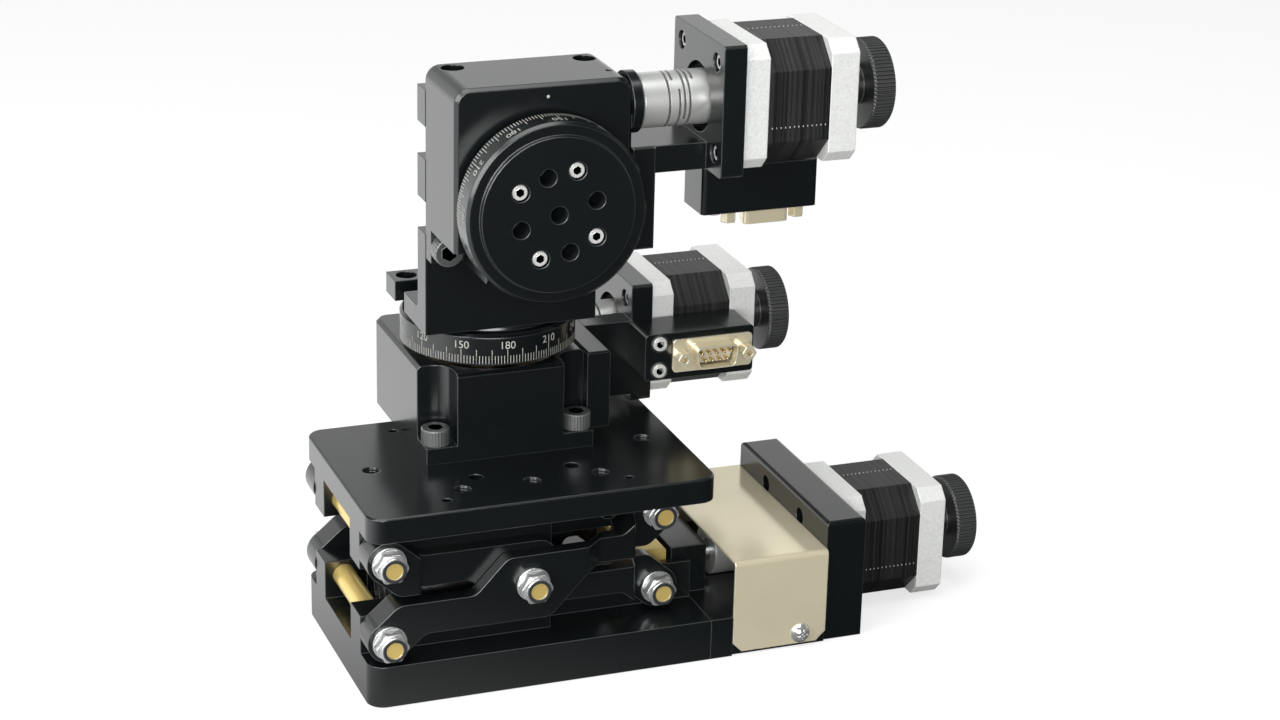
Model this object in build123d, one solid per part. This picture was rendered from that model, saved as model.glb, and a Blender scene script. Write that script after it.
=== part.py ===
"""Motorised scissor lift stage carrying two worm-driven rotation stages.

Millimetres, +Z up.  The origin lies on the mounting plane, under the centre of the lift platform.
Motors point along +X, the dial of the upper rotation stage faces -Y.
"""
from build123d import *
import math
import os

os.makedirs("parts", exist_ok=True)

# ---------------------------------------------------------------- clearances
slip = 0.05            # radial clearance of a pin, shaft or screw in its hole
layer_gap = 0.3        # between arms that slide past each other
seat_gap = 0.1         # between a washer and the arm that turns under it

# ---------------------------------------------------------------- lift: base and platform
platform_length = 125.0
platform_width = 84.0
platform_thickness = 9.0
base_end_margin = 7.8      # base beyond the carriage
base_thickness = 15.0
corner_radius = 6.0
wall_height = 14.0         # channel walls of base and platform
channel_half = 17.0        # half the inner width of the channel
wall_thickness = 12.0
thin_wall = 3.7            # wall beside the sliding pins
thin_wall_offset = 10.45   # centre pivot to where the walls are milled thin for the cranked arm ends
platform_wall_margin = 9.9 # platform walls beyond the upper sliding pins

# ---------------------------------------------------------------- lift: scissor linkage
arm_reach = 53.1           # centre pivot to end pivot
arm_rise = 14.6            # height of an end pivot above or below the centre pivot at rest
base_pivot_z = 23.5
pivot_inset = 7.0          # end pivots from the left end of base and platform
pivot_drop = 7.9           # upper pivots below the platform plate
end_radius = 7.5           # rounded arm ends
arm_thickness = 5.4
arm_bend_r = 5.0
arm_pad_end = -39.4        # thick left end of an arm, from the centre pivot
lift_up_deg = 20.0         # arm swing above and below the rest pose
lift_down_deg = 0.8
shaft_r = 4.0              # brass pivot shafts
thread_r = 3.0             # their M6 ends
washer_thickness = 0.8
washer_r = 6.0
nut_across_flats = 10.0
nut_hex_height = 4.2
nut_height = 6.0

# ---------------------------------------------------------------- lift: drive
motor_ground_gap = 1.55    # motors above the plane they are over
screw_r = 5.0
screw_end_r = 4.0
carriage_half_length = 7.1
carriage_top = 33.4
bearing_wall = 7.5         # thrust bearing's housing beyond the base
bearing_overlap = 6.0      # part of that housing that stands on the base, between its walls
bearing_top = 33.0
screw_bearing_r = 8.0
motor_plate_thickness = 15.0
motor_plate_width = 80.0
motor_plate_top = 45.6
cover_gap = 1.0            # between the bearing housing and the cover
cover_length = 35.7
cover_headroom = 3.0       # above the coupling
cover_sheet = 1.0
cover_screw_inset = 26.0   # from the cover's left edge
cover_screw_z = 5.2

# ---------------------------------------------------------------- stepper motor, 42.3 mm square
motor_side = 42.3
motor_cap_chamfer = 4.2
motor_stack_chamfer = 9.0
motor_front_cap = 8.8
motor_stack = 22.2
motor_rear_cap = 10.0
motor_screw_pitch = 31.0
motor_pilot_r = 11.0
motor_pilot_height = 2.0
motor_shaft_r = 2.5
motor_length = motor_front_cap + motor_stack + motor_rear_cap
knob_r = 15.6
knob_gap = 9.0
knob_thickness = 8.0
knob_hub_r = 7.0
coupling_r = 9.3
coupling_length = 25.0
slit_width = 0.5
m3_head_r = 2.75
m3_head = 3.0
m3_r = 1.5
m6_head_r = 5.0
m6_head = 6.0
m6_r = 3.0

# ---------------------------------------------------------------- rotation stage
housing_side = 7.6         # from the worm wheel's rim to the housing's side
housing_front = 27.0       # dial axis to front face
housing_corner = 5.0
housing_wall = 2.8         # behind the worm's bore
housing_height = 32.5
dial_r = 31.0
dial_bottom = 36.0
dial_rim_top = 46.6
dial_face = 47.8
dial_face_r = 26.3
dial_neck_r = 24.0
spindle_r = 10.0
wheel_r = 23.0
wheel_thickness = 9.0
gear_play = 0.2
worm_r = 6.0
worm_shaft_r = 4.0
worm_bore_r = 8.0
boss_r = 10.5
foot_screw_x = 26.0
foot_screw_y = -22.0
foot_flange = 6.0
pocket_r = 6.5
dial_holes_pcd = 27.0
dial_screw_ring_r = 15.75
dial_screw_half_angle = 40.0
bracket_block = 8.6        # thickness of the block that carries the motor arm
bracket_plate_offset = 26.4 # housing to motor plate
bracket_plate_thickness = 8.0
beam_thickness = 9.2
box_overhang = 0.8         # box beyond the motor plate's left face
box_length = 42.0
box_height = 17.6
box_depth = 16.5
dsub_offset = 25.8         # box end to the middle of its connector
jackscrew_pitch = 25.0

# ---------------------------------------------------------------- stack up
axis_y_lower = 25.15       # dial axis of the lower rotation stage, behind the platform centre
angle_plate_front = -1.2   # front face of the angle bracket's upright
angle_plate_thickness = 9.0
angle_foot_thickness = 7.3
angle_width = 61.5
angle_depth = 48.1
angle_height = 86.4
angle_slot = 11.4
angle_slot_depth = 12.0
axis_z_upper = 172.4       # dial axis of the upper rotation stage

# ---------------------------------------------------------------- worked out
screw_axis_z = motor_side / 2 + motor_ground_gap
cover_top = screw_axis_z + coupling_r + cover_headroom + cover_sheet
housing_half = wheel_r + housing_side
worm_axis_y = wheel_r + worm_r + gear_play
worm_axis_z = motor_side / 2 + 2.35
housing_back = worm_axis_y + worm_bore_r + housing_wall
bracket_block_x = housing_half + bracket_block
bracket_plate_x = housing_half + bracket_plate_offset
coupling_x0 = housing_half + 4.0
beam_y0 = worm_axis_y - motor_side / 2 - motor_ground_gap
foot_clear = 4.0
wheel_bottom = worm_axis_z - wheel_thickness / 2
box_x0 = bracket_plate_x - box_overhang
box_z = worm_axis_z + 0.3
box_screw_x = bracket_plate_x + 4.7
box_screw_z = (box_z - 5.1, box_z + 5.1)
dsub_x = box_x0 + dsub_offset
platform_pivot_z = base_pivot_z + 2 * arm_rise
plate_bottom = platform_pivot_z + pivot_drop
platform_top = plate_bottom + platform_thickness
wall_outer = channel_half + wall_thickness
left_end = -platform_length / 2
pivot_x = left_end + pivot_inset
arm_run = math.sqrt(arm_reach ** 2 - arm_rise ** 2)
centre_x = pivot_x + arm_run
centre_z = base_pivot_z + arm_rise
slider_x = pivot_x + 2 * arm_run
base_right = slider_x + carriage_half_length + base_end_margin
thin_wall_start = centre_x + thin_wall_offset
platform_wall_end = slider_x + platform_wall_margin
bearing_wall_end = base_right + bearing_wall
cover_start = bearing_wall_end + cover_gap
drive_block_end = cover_start + cover_length
cover_screw_x = cover_start + cover_screw_inset
rest_angle = math.degrees(math.atan2(arm_rise, arm_run))
inner_layer = wall_outer + layer_gap
outer_layer = inner_layer + arm_thickness + layer_gap
outer_face = outer_layer + arm_thickness
deep_layer = channel_half + thin_wall + seat_gap
deep_face = deep_layer + arm_thickness
end_nut_seat = outer_face + seat_gap
deep_nut_seat = deep_face + seat_gap
dial_top_z = platform_top + dial_face


# ================================================================ helpers
def block(x0, x1, y0, y1, z0, z1):
    """Box between two corners."""
    centre = Pos((x0 + x1) / 2, (y0 + y1) / 2, (z0 + z1) / 2)
    return centre * Box(x1 - x0, y1 - y0, z1 - z0)


def rod_x(r, x0, x1, y, z):
    """Cylinder along X from x0 to x1."""
    return Pos((x0 + x1) / 2, y, z) * Rot(0, 90, 0) * Cylinder(r, x1 - x0)


def rod_y(r, y0, y1, x, z):
    """Cylinder along Y from y0 to y1."""
    return Pos(x, (y0 + y1) / 2, z) * Rot(90, 0, 0) * Cylinder(r, y1 - y0)


def rod_z(r, z0, z1, x, y):
    """Cylinder along Z from z0 to z1."""
    return Pos(x, y, (z0 + z1) / 2) * Cylinder(r, z1 - z0)


def mirror_y(shape):
    """The same shape on the other side of the lift."""
    return mirror(shape, Plane.XZ)


def nearest_vertical(shape, corners, tolerance=0.01):
    """Vertical edges that stand at the given (x, y) corners."""
    picked = []
    for edge in shape.edges().filter_by(Axis.Z):
        middle = edge.center()
        for x, y in corners:
            if abs(middle.X - x) < tolerance and abs(middle.Y - y) < tolerance:
                picked.append(edge)
    return picked


def cap_screw(head_r, head, shank_r, shank, socket_r):
    """Socket head cap screw: head above z = 0, shank below."""
    screw = rod_z(head_r, 0, head, 0, 0)
    screw = chamfer(screw.edges().group_by(Axis.Z)[-1], 0.3)
    hexagon = extrude(Pos(0, 0, head * 0.45) * RegularPolygon(socket_r, 6), head)
    return screw - hexagon + rod_z(shank_r, -shank, 0.01, 0, 0)


def lock_nut(bore_r):
    """Nylon insert lock nut standing on z = 0: hexagon below, round collar above."""
    hexagon = extrude(RegularPolygon(nut_across_flats / 2, 6, major_radius=False), nut_hex_height)
    crown = Cone(nut_across_flats * 0.66, nut_across_flats * 0.49, nut_hex_height * 1.6)
    hexagon = hexagon & (Pos(0, 0, nut_hex_height * 0.8) * crown)
    collar = rod_z(nut_across_flats * 0.46, 0, nut_height, 0, 0)
    collar = fillet(collar.edges().group_by(Axis.Z)[-1], 0.8)
    return hexagon + collar - rod_z(bore_r, -1, nut_height + 1, 0, 0)


def side_fasteners(x, z, seat):
    """Washer and lock nut on both ends of a pivot shaft."""
    washer = Cylinder(washer_r, washer_thickness) - Cylinder(thread_r + slip, washer_thickness * 2)
    nut = lock_nut(thread_r + slip)
    pieces = []
    for side in (-1, 1):
        turn = Rot(90 if side < 0 else -90, 0, 0)
        pieces.append(Pos(x, side * (seat + washer_thickness / 2), z) * turn * washer)
        pieces.append(Pos(x, side * (seat + washer_thickness), z) * turn * nut)
    return pieces


def pivot_shaft(x, z, shoulder, seat):
    """Brass shaft across the lift: full size to the shoulder, M6 from there to the nut's face."""
    tip = seat + washer_thickness + nut_height - 0.3
    shaft = rod_y(shaft_r, -shoulder, shoulder, x, z)
    thread = rod_y(thread_r, -tip, tip, x, z)
    return shaft + thread


def save(name, pieces):
    """Write one node; a list of pieces stays a group of separate solids."""
    if isinstance(pieces, list):
        solids = [solid for piece in pieces for solid in piece.solids()]
        shape = Compound(children=solids) if len(solids) > 1 else solids[0]
    else:
        shape = pieces
    export_step(shape, f"parts/{name}.step")


# ================================================================ lift: base and platform
def channel_walls(z0, z1, x0, x1):
    """Two channel walls, milled thin from thin_wall_start on."""
    wall = block(x0, x1, channel_half, wall_outer, z0, z1)
    wall -= block(thin_wall_start, x1 + 1, channel_half + thin_wall, wall_outer + 1, z0 - 1, z1 + 1)
    return wall + mirror_y(wall)


def pin_slot(z):
    """Slot through both thin walls in which a sliding pin travels."""
    swung = math.cos(math.radians(rest_angle + lift_up_deg))
    x_near = pivot_x + 2 * arm_reach * swung - thread_r - 1.0
    x_far = slider_x + thread_r + 1.0
    half = thread_r + slip
    reach = wall_outer + 1
    slot = block(x_near + half, x_far - half, -reach, reach, z - half, z + half)
    slot += rod_y(half, -reach, reach, x_near + half, z)
    return slot + rod_y(half, -reach, reach, x_far - half, z)


def make_base():
    plate = block(left_end, base_right, -platform_width / 2, platform_width / 2, 0, base_thickness)
    corners = [(left_end, -platform_width / 2), (left_end, platform_width / 2)]
    plate = fillet(nearest_vertical(plate, corners), corner_radius)
    body = plate + channel_walls(base_thickness, base_thickness + wall_height, left_end, base_right)
    web = block(pivot_x + 8.5, pivot_x + 14.5, -channel_half, channel_half,
                base_thickness, base_thickness + wall_height)
    body += web
    body -= rod_y(shaft_r + slip, -wall_outer - 1, wall_outer + 1, pivot_x, base_pivot_z)
    body -= pin_slot(base_pivot_z)
    return body - rod_x(screw_bearing_r + slip, pivot_x + 8, pivot_x + 15, 0, screw_axis_z)


def make_platform():
    half = platform_length / 2
    side = platform_width / 2
    plate = block(-half, half, -side, side, plate_bottom, platform_top)
    corners = [(x, y) for x in (-half, half) for y in (-side, side)]
    plate = fillet(nearest_vertical(plate, corners), corner_radius)
    plate = chamfer(plate.edges().group_by(Axis.Z)[-1], 0.5)
    body = plate + channel_walls(plate_bottom - wall_height, plate_bottom, left_end, platform_wall_end)
    body -= rod_y(shaft_r + slip, -wall_outer - 1, wall_outer + 1, pivot_x, platform_pivot_z)
    body -= pin_slot(platform_pivot_z)
    for x, y, r, depth in platform_holes():
        body -= rod_z(r, platform_top - depth, platform_top + 1, x, y)
    return body


def platform_holes():
    """Position, radius and depth of the tapped holes in the platform."""
    through = platform_thickness + 1
    blind = platform_thickness + 3
    holes = [(x, y, m6_r, blind) for x in (-25.0, 0.0, 25.0) for y in (-25.0, 25.0)]
    holes += [(x, 0.0, m6_r, through) for x in (-50.0, 50.0)]
    holes += [(x, y, 2.5, through) for x in (-17.5, 17.5) for y in (-16.6 + 0.3, 16.6 - 0.3)]
    holes += [(x, y, 1.6, through) for x in (-32.8, 32.8) for y in (-32.5, 32.5)]
    front_y = axis_y_lower + foot_screw_y
    holes += [(x, front_y, m6_r, through) for x in (-foot_screw_x, foot_screw_x)]
    return holes


# ================================================================ lift: cranked scissor arms
def arm_outline():
    """Side view of the rising arm about its centre pivot: a Z shaped bar with round ends."""
    run = arm_run
    rise = arm_rise
    points = [
        (-run - 5.5, -rise + 5.0),
        (-run + 3.5, -1.7),
        (-20.5, -1.7),
        (-9.0, 10.6),
        (35.0, 10.9),
        (run - 4.8, rise + 5.7),
        (run + 5.5, rise - 5.0),
        (run - 3.5, 1.7),
        (20.5, 1.7),
        (6.5, -13.2),
        (-run + 13.0, -13.2),
        (-run + 4.8, -rise - 5.7),
    ]
    bar = make_face(Polyline(*points, close=True))
    bends = [v for v in bar.vertices() if abs(v.X) < run and abs(v.Y) < rise]
    bar = fillet(bends, arm_bend_r)
    ends = [Pos(side * run, side * rise) * Circle(end_radius) for side in (-1, 1)]
    return bar + ends[0] + ends[1]


def extruded_arm(outline, plan):
    """Bar whose side view is outline (x, z) and whose plan is the polygon (x, distance out)."""
    span = outer_face + 5
    tall = 80
    bar = extrude(Plane.XZ * outline, span)
    strip = make_face(Polyline(*[(x, -out) for x, out in plan], close=True))
    strip = fillet(strip.vertices().sort_by(Axis.X)[2:-2], 1.2)
    strip = extrude(Pos(0, 0, -tall / 2) * strip, tall)
    return bar & strip


def rising_arm():
    """Arm from the lower left pivot up to the upper sliding pin, on the front side."""
    end = arm_run + end_radius + 1
    mid_face = inner_layer + arm_thickness
    plan = [(-end, inner_layer), (-end, outer_face), (20.2, outer_face), (26.2, mid_face),
            (39.5, mid_face), (41.5, deep_face), (end, deep_face), (end, deep_layer),
            (35.0, deep_layer), (33.0, inner_layer), (28.0, inner_layer), (22.0, outer_layer),
            (arm_pad_end, outer_layer), (arm_pad_end, inner_layer)]
    arm = extruded_arm(arm_outline(), plan)
    arm = Pos(centre_x, 0, centre_z) * arm
    arm -= rod_y(thread_r + slip, -outer_face - 1, 0, pivot_x, base_pivot_z)
    arm -= rod_y(thread_r + slip, -outer_face - 1, 0, slider_x, platform_pivot_z)
    return arm - rod_y(thread_r + slip, -outer_face - 1, 0, centre_x, centre_z)


def falling_arm():
    """Arm from the upper left pivot down to the lower sliding pin, on the front side."""
    end = arm_run + end_radius + 1
    mid_face = inner_layer + arm_thickness
    plan = [(-end, inner_layer), (-end, outer_face), (arm_pad_end, outer_face),
            (arm_pad_end, mid_face), (39.5, mid_face), (41.5, deep_face), (end, deep_face),
            (end, deep_layer), (35.0, deep_layer), (33.0, inner_layer)]
    outline = mirror(arm_outline(), Plane.XZ)
    arm = extruded_arm(outline, plan)
    arm = Pos(centre_x, 0, centre_z) * arm
    arm -= rod_y(thread_r + slip, -outer_face - 1, 0, pivot_x, platform_pivot_z)
    arm -= rod_y(thread_r + slip, -outer_face - 1, 0, slider_x, base_pivot_z)
    return arm - rod_y(shaft_r + slip, -outer_face - 1, 0, centre_x, centre_z)


# ================================================================ lift: drive
def make_carriage():
    """Brass block that the lead screw pulls along the base channel, with its two turned pins."""
    half = carriage_half_length
    inside = channel_half - 0.4
    tip = deep_nut_seat + washer_thickness + nut_height - 0.3
    body = block(slider_x - half, slider_x + half, -inside, inside, base_thickness + 0.4, carriage_top)
    body = chamfer(body.edges().filter_by(Axis.Y), 0.8)
    body += rod_y(thread_r, -tip, tip, slider_x, base_pivot_z)
    return body - rod_x(screw_r + slip, slider_x - half - 1, slider_x + half + 1, 0, screw_axis_z)


def make_drive_block():
    """End block of the base: floor under the cover and the housing of the screw's thrust bearing."""
    side = platform_width / 2
    floor = block(base_right, drive_block_end, -side, side, 0, base_thickness)
    for near, far in ((-side - 1, -side + cover_sheet), (side - cover_sheet, side + 1)):
        floor -= block(cover_start - 0.2, drive_block_end + 1, near, far, -1, base_thickness + 1)
    half = channel_half - seat_gap
    start = base_right - bearing_overlap
    body = floor + block(start, bearing_wall_end, -half, half, base_thickness, bearing_top)
    body -= rod_x(screw_bearing_r + slip, start - 1, bearing_wall_end + 1, 0, screw_axis_z)
    body -= rod_x(coupling_r + 1.0, bearing_wall_end, drive_block_end + 1, 0, screw_axis_z)
    for y in (-side, side):
        inward = -1 if y > 0 else 1
        near = y + inward * 12
        body -= rod_y(1.5, min(y, near), max(y, near), cover_screw_x, cover_screw_z)
    return body


def make_cover():
    """Bent steel cover over the coupling: top and two skirts with clipped lower corners."""
    side = platform_width / 2
    outer = block(cover_start, drive_block_end, -side, side, 1.2, cover_top)
    outer = fillet(outer.edges().filter_by(Axis.X).group_by(Axis.Z)[-1], 1.8)
    inner = block(cover_start - 1, drive_block_end + 1, -side + cover_sheet, side - cover_sheet,
                  0, cover_top - cover_sheet)
    inner = fillet(inner.edges().filter_by(Axis.X).group_by(Axis.Z)[-1], 0.8)
    cover = outer - inner
    clip = 3.5
    for x in (cover_start, drive_block_end):
        cutter = Pos(x, 0, 1.2) * Rot(0, 45, 0) * Box(clip * 1.414, platform_width + 4, clip * 1.414)
        cover -= cutter
    return cover - rod_y(2.1, -side - 1, side + 1, cover_screw_x, cover_screw_z)


def pan_screws():
    """Pan head cross recess screws that hold the cover's skirts."""
    side = platform_width / 2
    head = Pos(0, 0, 1.1) * Sphere(4.2) & block(-4, 4, -4, 4, 2.8, 6)
    head = Pos(0, 0, -2.8) * head + rod_z(3.1, 0, 0.6, 0, 0)
    cross = block(-1.9, 1.9, -0.35, 0.35, 1.0, 4) + block(-0.35, 0.35, -1.9, 1.9, 1.0, 4)
    screw = head - cross + rod_z(1.45, -8, 0.1, 0, 0)
    front = Pos(cover_screw_x, -side, cover_screw_z) * Rot(90, 0, 0) * screw
    return [front, Pos(cover_screw_x, side, cover_screw_z) * Rot(-90, 0, 0) * screw]


def ring_x(outer_r, inner_r, x0, x1, y, z):
    """Bearing or spacer ring about an axis along X."""
    return rod_x(outer_r, x0, x1, y, z) - rod_x(inner_r, x0 - 1, x1 + 1, y, z)


# ================================================================ motor, coupling and knob, along +X
def motor_square(length, corner):
    """Square bar along +X from x = 0 with its four long edges cut off."""
    bar = block(0, length, -motor_side / 2, motor_side / 2, -motor_side / 2, motor_side / 2)
    return chamfer(bar.edges().filter_by(Axis.X), corner)


def screw_places():
    """Centres of the four motor screws in the motor's own Y, Z plane."""
    half = motor_screw_pitch / 2
    return [(y, z) for y in (-half, half) for z in (-half, half)]


def motor_caps():
    """Cast front and rear caps; the front one has its pilot boss and tapped holes."""
    front = motor_square(motor_front_cap, motor_cap_chamfer)
    front += rod_x(motor_pilot_r, -motor_pilot_height, 0.01, 0, 0)
    for y, z in screw_places():
        front -= rod_x(m3_r + slip, -1, 5, y, z)
    rear = Pos(motor_front_cap + motor_stack, 0, 0) * motor_square(motor_rear_cap, motor_cap_chamfer)
    bore = rod_x(motor_shaft_r + 0.5, -5, motor_length + 5, 0, 0)
    for y, z in screw_places():
        rear -= rod_x(2.2, motor_length - 2.0, motor_length + 1, y, z)
    return [front - bore, rear - bore]


def motor_laminations():
    """Stack of stator laminations between the caps."""
    stack = motor_square(motor_stack, motor_stack_chamfer)
    stack = Pos(motor_front_cap, 0, 0) * stack
    return stack - rod_x(motor_shaft_r + 0.5, 0, motor_length, 0, 0)


def motor_axle(reach):
    """Double ended rotor shaft, from reach ahead of the motor to inside the knob."""
    return rod_x(motor_shaft_r, -reach, motor_length + knob_gap + knob_thickness * 0.6, 0, 0)


def hand_knob():
    """Round knob on the rear shaft, with a hub and a dished face."""
    x0 = motor_length + knob_gap
    rim = rod_x(knob_r, x0, x0 + knob_thickness, 0, 0)
    rim = chamfer(rim.edges().filter_by(GeomType.CIRCLE), 0.7)
    dish = rod_x(knob_r - 4.0, x0 + knob_thickness - 1.5, x0 + knob_thickness + 1, 0, 0)
    hub = rod_x(knob_hub_r, motor_length + 1.5, x0 + 0.01, 0, 0)
    knob = rim - dish + hub
    return knob - rod_x(motor_shaft_r + slip, motor_length, x0 + knob_thickness * 0.6, 0, 0)


def slit_coupling(shaft_in_r, shaft_out_r):
    """One piece flexible coupling, x = 0 to its length: a tube with staggered part-through slits."""
    length = coupling_length
    tube = rod_x(coupling_r, 0, length, 0, 0)
    tube = chamfer(tube.edges().filter_by(GeomType.CIRCLE), 0.4)
    tube -= rod_x(shaft_in_r + slip, -1, length * 0.45, 0, 0)
    tube -= rod_x(shaft_out_r + slip, length * 0.4, length + 1, 0, 0)
    tube -= rod_x(shaft_in_r + slip, length * 0.3, length * 0.68, 0, 0)
    reach = coupling_r * 1.5
    slits = [(9.0, 0), (10.8, 180), (12.6, 90), (14.4, 270), (16.2, 0), (18.0, 180)]
    for x, turn in slits:
        cut = block(x - slit_width / 2, x + slit_width / 2, -reach, reach, -coupling_r * 0.55, reach)
        tube -= Rot(turn, 0, 0) * cut
    for x in (4.0, length - 3.6):
        tube -= rod_z(1.5, -coupling_r - 1, 0, x, 0)
    return tube


def motor_screws(plate_thickness, head_depth):
    """Four cap screws through a motor plate; the plate's motor face is at x = 0."""
    screw = cap_screw(m3_head_r, m3_head, m3_r, head_depth + 4.5, 1.5)
    turned = Rot(0, -90, 0) * screw
    return [Pos(-head_depth, y, z) * turned for y, z in screw_places()]


def cut_motor_holes(plate, x_face, thickness, head_depth, y0, z0, bore_r):
    """Pilot bore and four counterbored screw holes in a plate whose motor face is at x_face."""
    plate -= rod_x(bore_r, x_face - thickness - 1, x_face + 1, y0, z0)
    for y, z in screw_places():
        plate -= rod_x(m3_r + slip, x_face - thickness - 1, x_face + 1, y0 + y, z0 + z)
        plate -= rod_x(m3_head_r + 0.45, x_face - thickness - 1, x_face - head_depth, y0 + y, z0 + z)
    return plate


# ================================================================ rotation stage, in its own frame
def make_housing():
    """Worm drive housing: corner pockets for the foot screws, wheel chamber, worm bore and boss."""
    body = block(-housing_half, housing_half, -housing_front, housing_back, 0, housing_height)
    back = [(-housing_half, housing_back), (housing_half, housing_back)]
    body = fillet(nearest_vertical(body, back), housing_corner)
    body = chamfer(body.edges().group_by(Axis.Z)[-1], 1.2)
    for side in (-1, 1):
        x = side * foot_screw_x
        edge = side * (housing_half + 1)
        inner = side * (foot_screw_x - pocket_r)
        top = housing_height + 1
        front = -housing_front - 1
        pocket = rod_z(pocket_r, foot_flange, top, x, foot_screw_y)
        pocket += block(min(x, edge), max(x, edge), front, foot_screw_y + pocket_r, foot_flange, top)
        pocket += block(min(inner, edge), max(inner, edge), front, foot_screw_y, foot_flange, top)
        body -= pocket
        body -= rod_z(m6_r + 0.4, -1, foot_flange + 1, x, foot_screw_y)
        body -= rod_y(m6_r + 1.0, housing_back - 10, housing_back + 1, side * 23.0, 5.5)
    boss = rod_x(boss_r, housing_half - 0.01, coupling_x0 - 0.6, worm_axis_y, worm_axis_z)
    body += boss
    body -= rod_z(wheel_r + 2.4, wheel_bottom - 1.5, housing_height + 1, 0, 0)
    body -= rod_z(15.0 + slip, 4.0, wheel_bottom, 0, 0)
    body -= rod_z(spindle_r + 1.0, -1, 5, 0, 0)
    body -= rod_x(worm_bore_r + slip, -26.0, coupling_x0, worm_axis_y, worm_axis_z)
    for y, z in bracket_screw_places():
        body -= rod_x(2.0, housing_half - 8.5, housing_half + 1, y, z)
    return body - rod_y(1.2, housing_back - 5, housing_back + 1, 25.5, 22.5)


def bracket_screw_places():
    """Screws that hold the motor arm's block to the housing's right face."""
    return [(-12.0, 10.0), (-12.0, 26.0), (9.0, 6.5)]


def make_motor_bracket():
    """Arm that carries the motor: block on the housing, beam beside the coupling, motor plate."""
    y0 = beam_y0
    low = foot_clear
    body = block(housing_half, bracket_block_x, -20.0, y0 + beam_thickness, low, housing_height)
    body = chamfer(body.edges().group_by(Axis.Z)[-1], 0.6)
    beam = block(bracket_block_x - 0.5, bracket_plate_x + 0.5, y0, y0 + beam_thickness,
                 low, housing_height)
    x1 = bracket_plate_x + bracket_plate_thickness
    side = motor_side / 2 + 1.1
    plate = block(bracket_plate_x, x1, y0, worm_axis_y + side,
                  worm_axis_z - side, worm_axis_z + side)
    plate = chamfer(plate.edges().filter_by(Axis.X), 0.8)
    body = body + beam + plate
    body = cut_motor_holes(body, x1, bracket_plate_thickness, 4.0, worm_axis_y, worm_axis_z, 12.0)
    for y, z in bracket_screw_places():
        body -= rod_x(2.0 + slip, housing_half - 1, bracket_block_x + 1, y, z)
        body -= rod_x(3.6, bracket_block_x - 4.2, bracket_block_x + 1, y, z)
    for z in box_screw_z:
        body -= rod_y(m3_r, y0 - 1, y0 + 8.0, box_screw_x, z)
    return body


def make_connector_box():
    """Connector housing under the motor, with the D-sub's insulator standing in its face."""
    y1 = beam_y0
    y0 = y1 - box_depth
    body = block(box_x0, box_x0 + box_length, y0, y1, box_z - box_height / 2, box_z + box_height / 2)
    body = fillet(body.edges().filter_by(Axis.Y), 1.5)
    for z in box_screw_z:
        body -= rod_y(m3_r + slip, y0 - 1, y1 + 1, box_screw_x, z)
        body -= rod_y(m3_head_r + 0.4, y0 - 1, y0 + 2.2, box_screw_x, z)
    body -= Pos(dsub_x, y0, box_z) * dsub_prism(15.6, 7.1, -1, 5)
    insulator = Pos(dsub_x, y0, box_z) * dsub_prism(15.0, 6.5, -1.6, 5.2)
    for x, z in pin_places():
        insulator -= Pos(dsub_x, y0, box_z) * rod_y(0.5 + slip, -5, 5.3, x, z)
    for x in (-jackscrew_pitch / 2, jackscrew_pitch / 2):
        body -= rod_y(1.4 + slip, y0 - 1, y0 + 5, dsub_x + x, box_z)
    return body + insulator


def dsub_prism(width, height, y0, y1):
    """D shaped prism along Y with 10 degree flanks and rounded corners."""
    taper = height * math.tan(math.radians(10.0))
    top = width / 2
    bottom = width / 2 - taper
    outline = make_face(Polyline((-top, height / 2), (top, height / 2), (bottom, -height / 2),
                                 (-bottom, -height / 2), close=True))
    outline = fillet(outline.vertices(), height * 0.22)
    return Pos(0, y1, 0) * extrude(Plane.XZ * outline, y1 - y0)


def pin_places():
    """Five pins above four, 2.77 mm apart."""
    pitch = 2.77
    upper = [((i - 2) * pitch, 1.42) for i in range(5)]
    return upper + [((i - 1.5) * pitch, -1.42) for i in range(4)]


def make_connector_metal():
    """D-sub flange with its drawn shell, two hexagonal jack screws and nine pins."""
    face = beam_y0 - box_depth
    flange = block(-15.4, 15.4, -0.8, 0, -6.25, 6.25)
    flange = fillet(flange.edges().filter_by(Axis.Y), 1.6)
    shell = dsub_prism(16.9, 8.3, -6.2, -0.4)
    flange = flange + shell - dsub_prism(15.9, 7.3, -7, 1)
    jack = extrude(RegularPolygon(2.4, 6, major_radius=False), 5.0) + rod_z(1.4, -5.0, 0.01, 0, 0)
    jack -= rod_z(1.15, 1.0, 6, 0, 0)
    jack = Pos(0, -0.8, 0) * Rot(90, 0, 0) * jack
    pieces = []
    for x in (-jackscrew_pitch / 2, jackscrew_pitch / 2):
        flange -= rod_y(1.4 + slip, -2, 1, x, 0)
        pieces.append(Pos(x, 0, 0) * jack)
    pins = [rod_y(0.5, -5.4, 5.0, x, z) for x, z in pin_places()]
    pieces = [flange] + pieces + pins
    return [Pos(dsub_x, face, box_z) * piece for piece in pieces]


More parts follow.
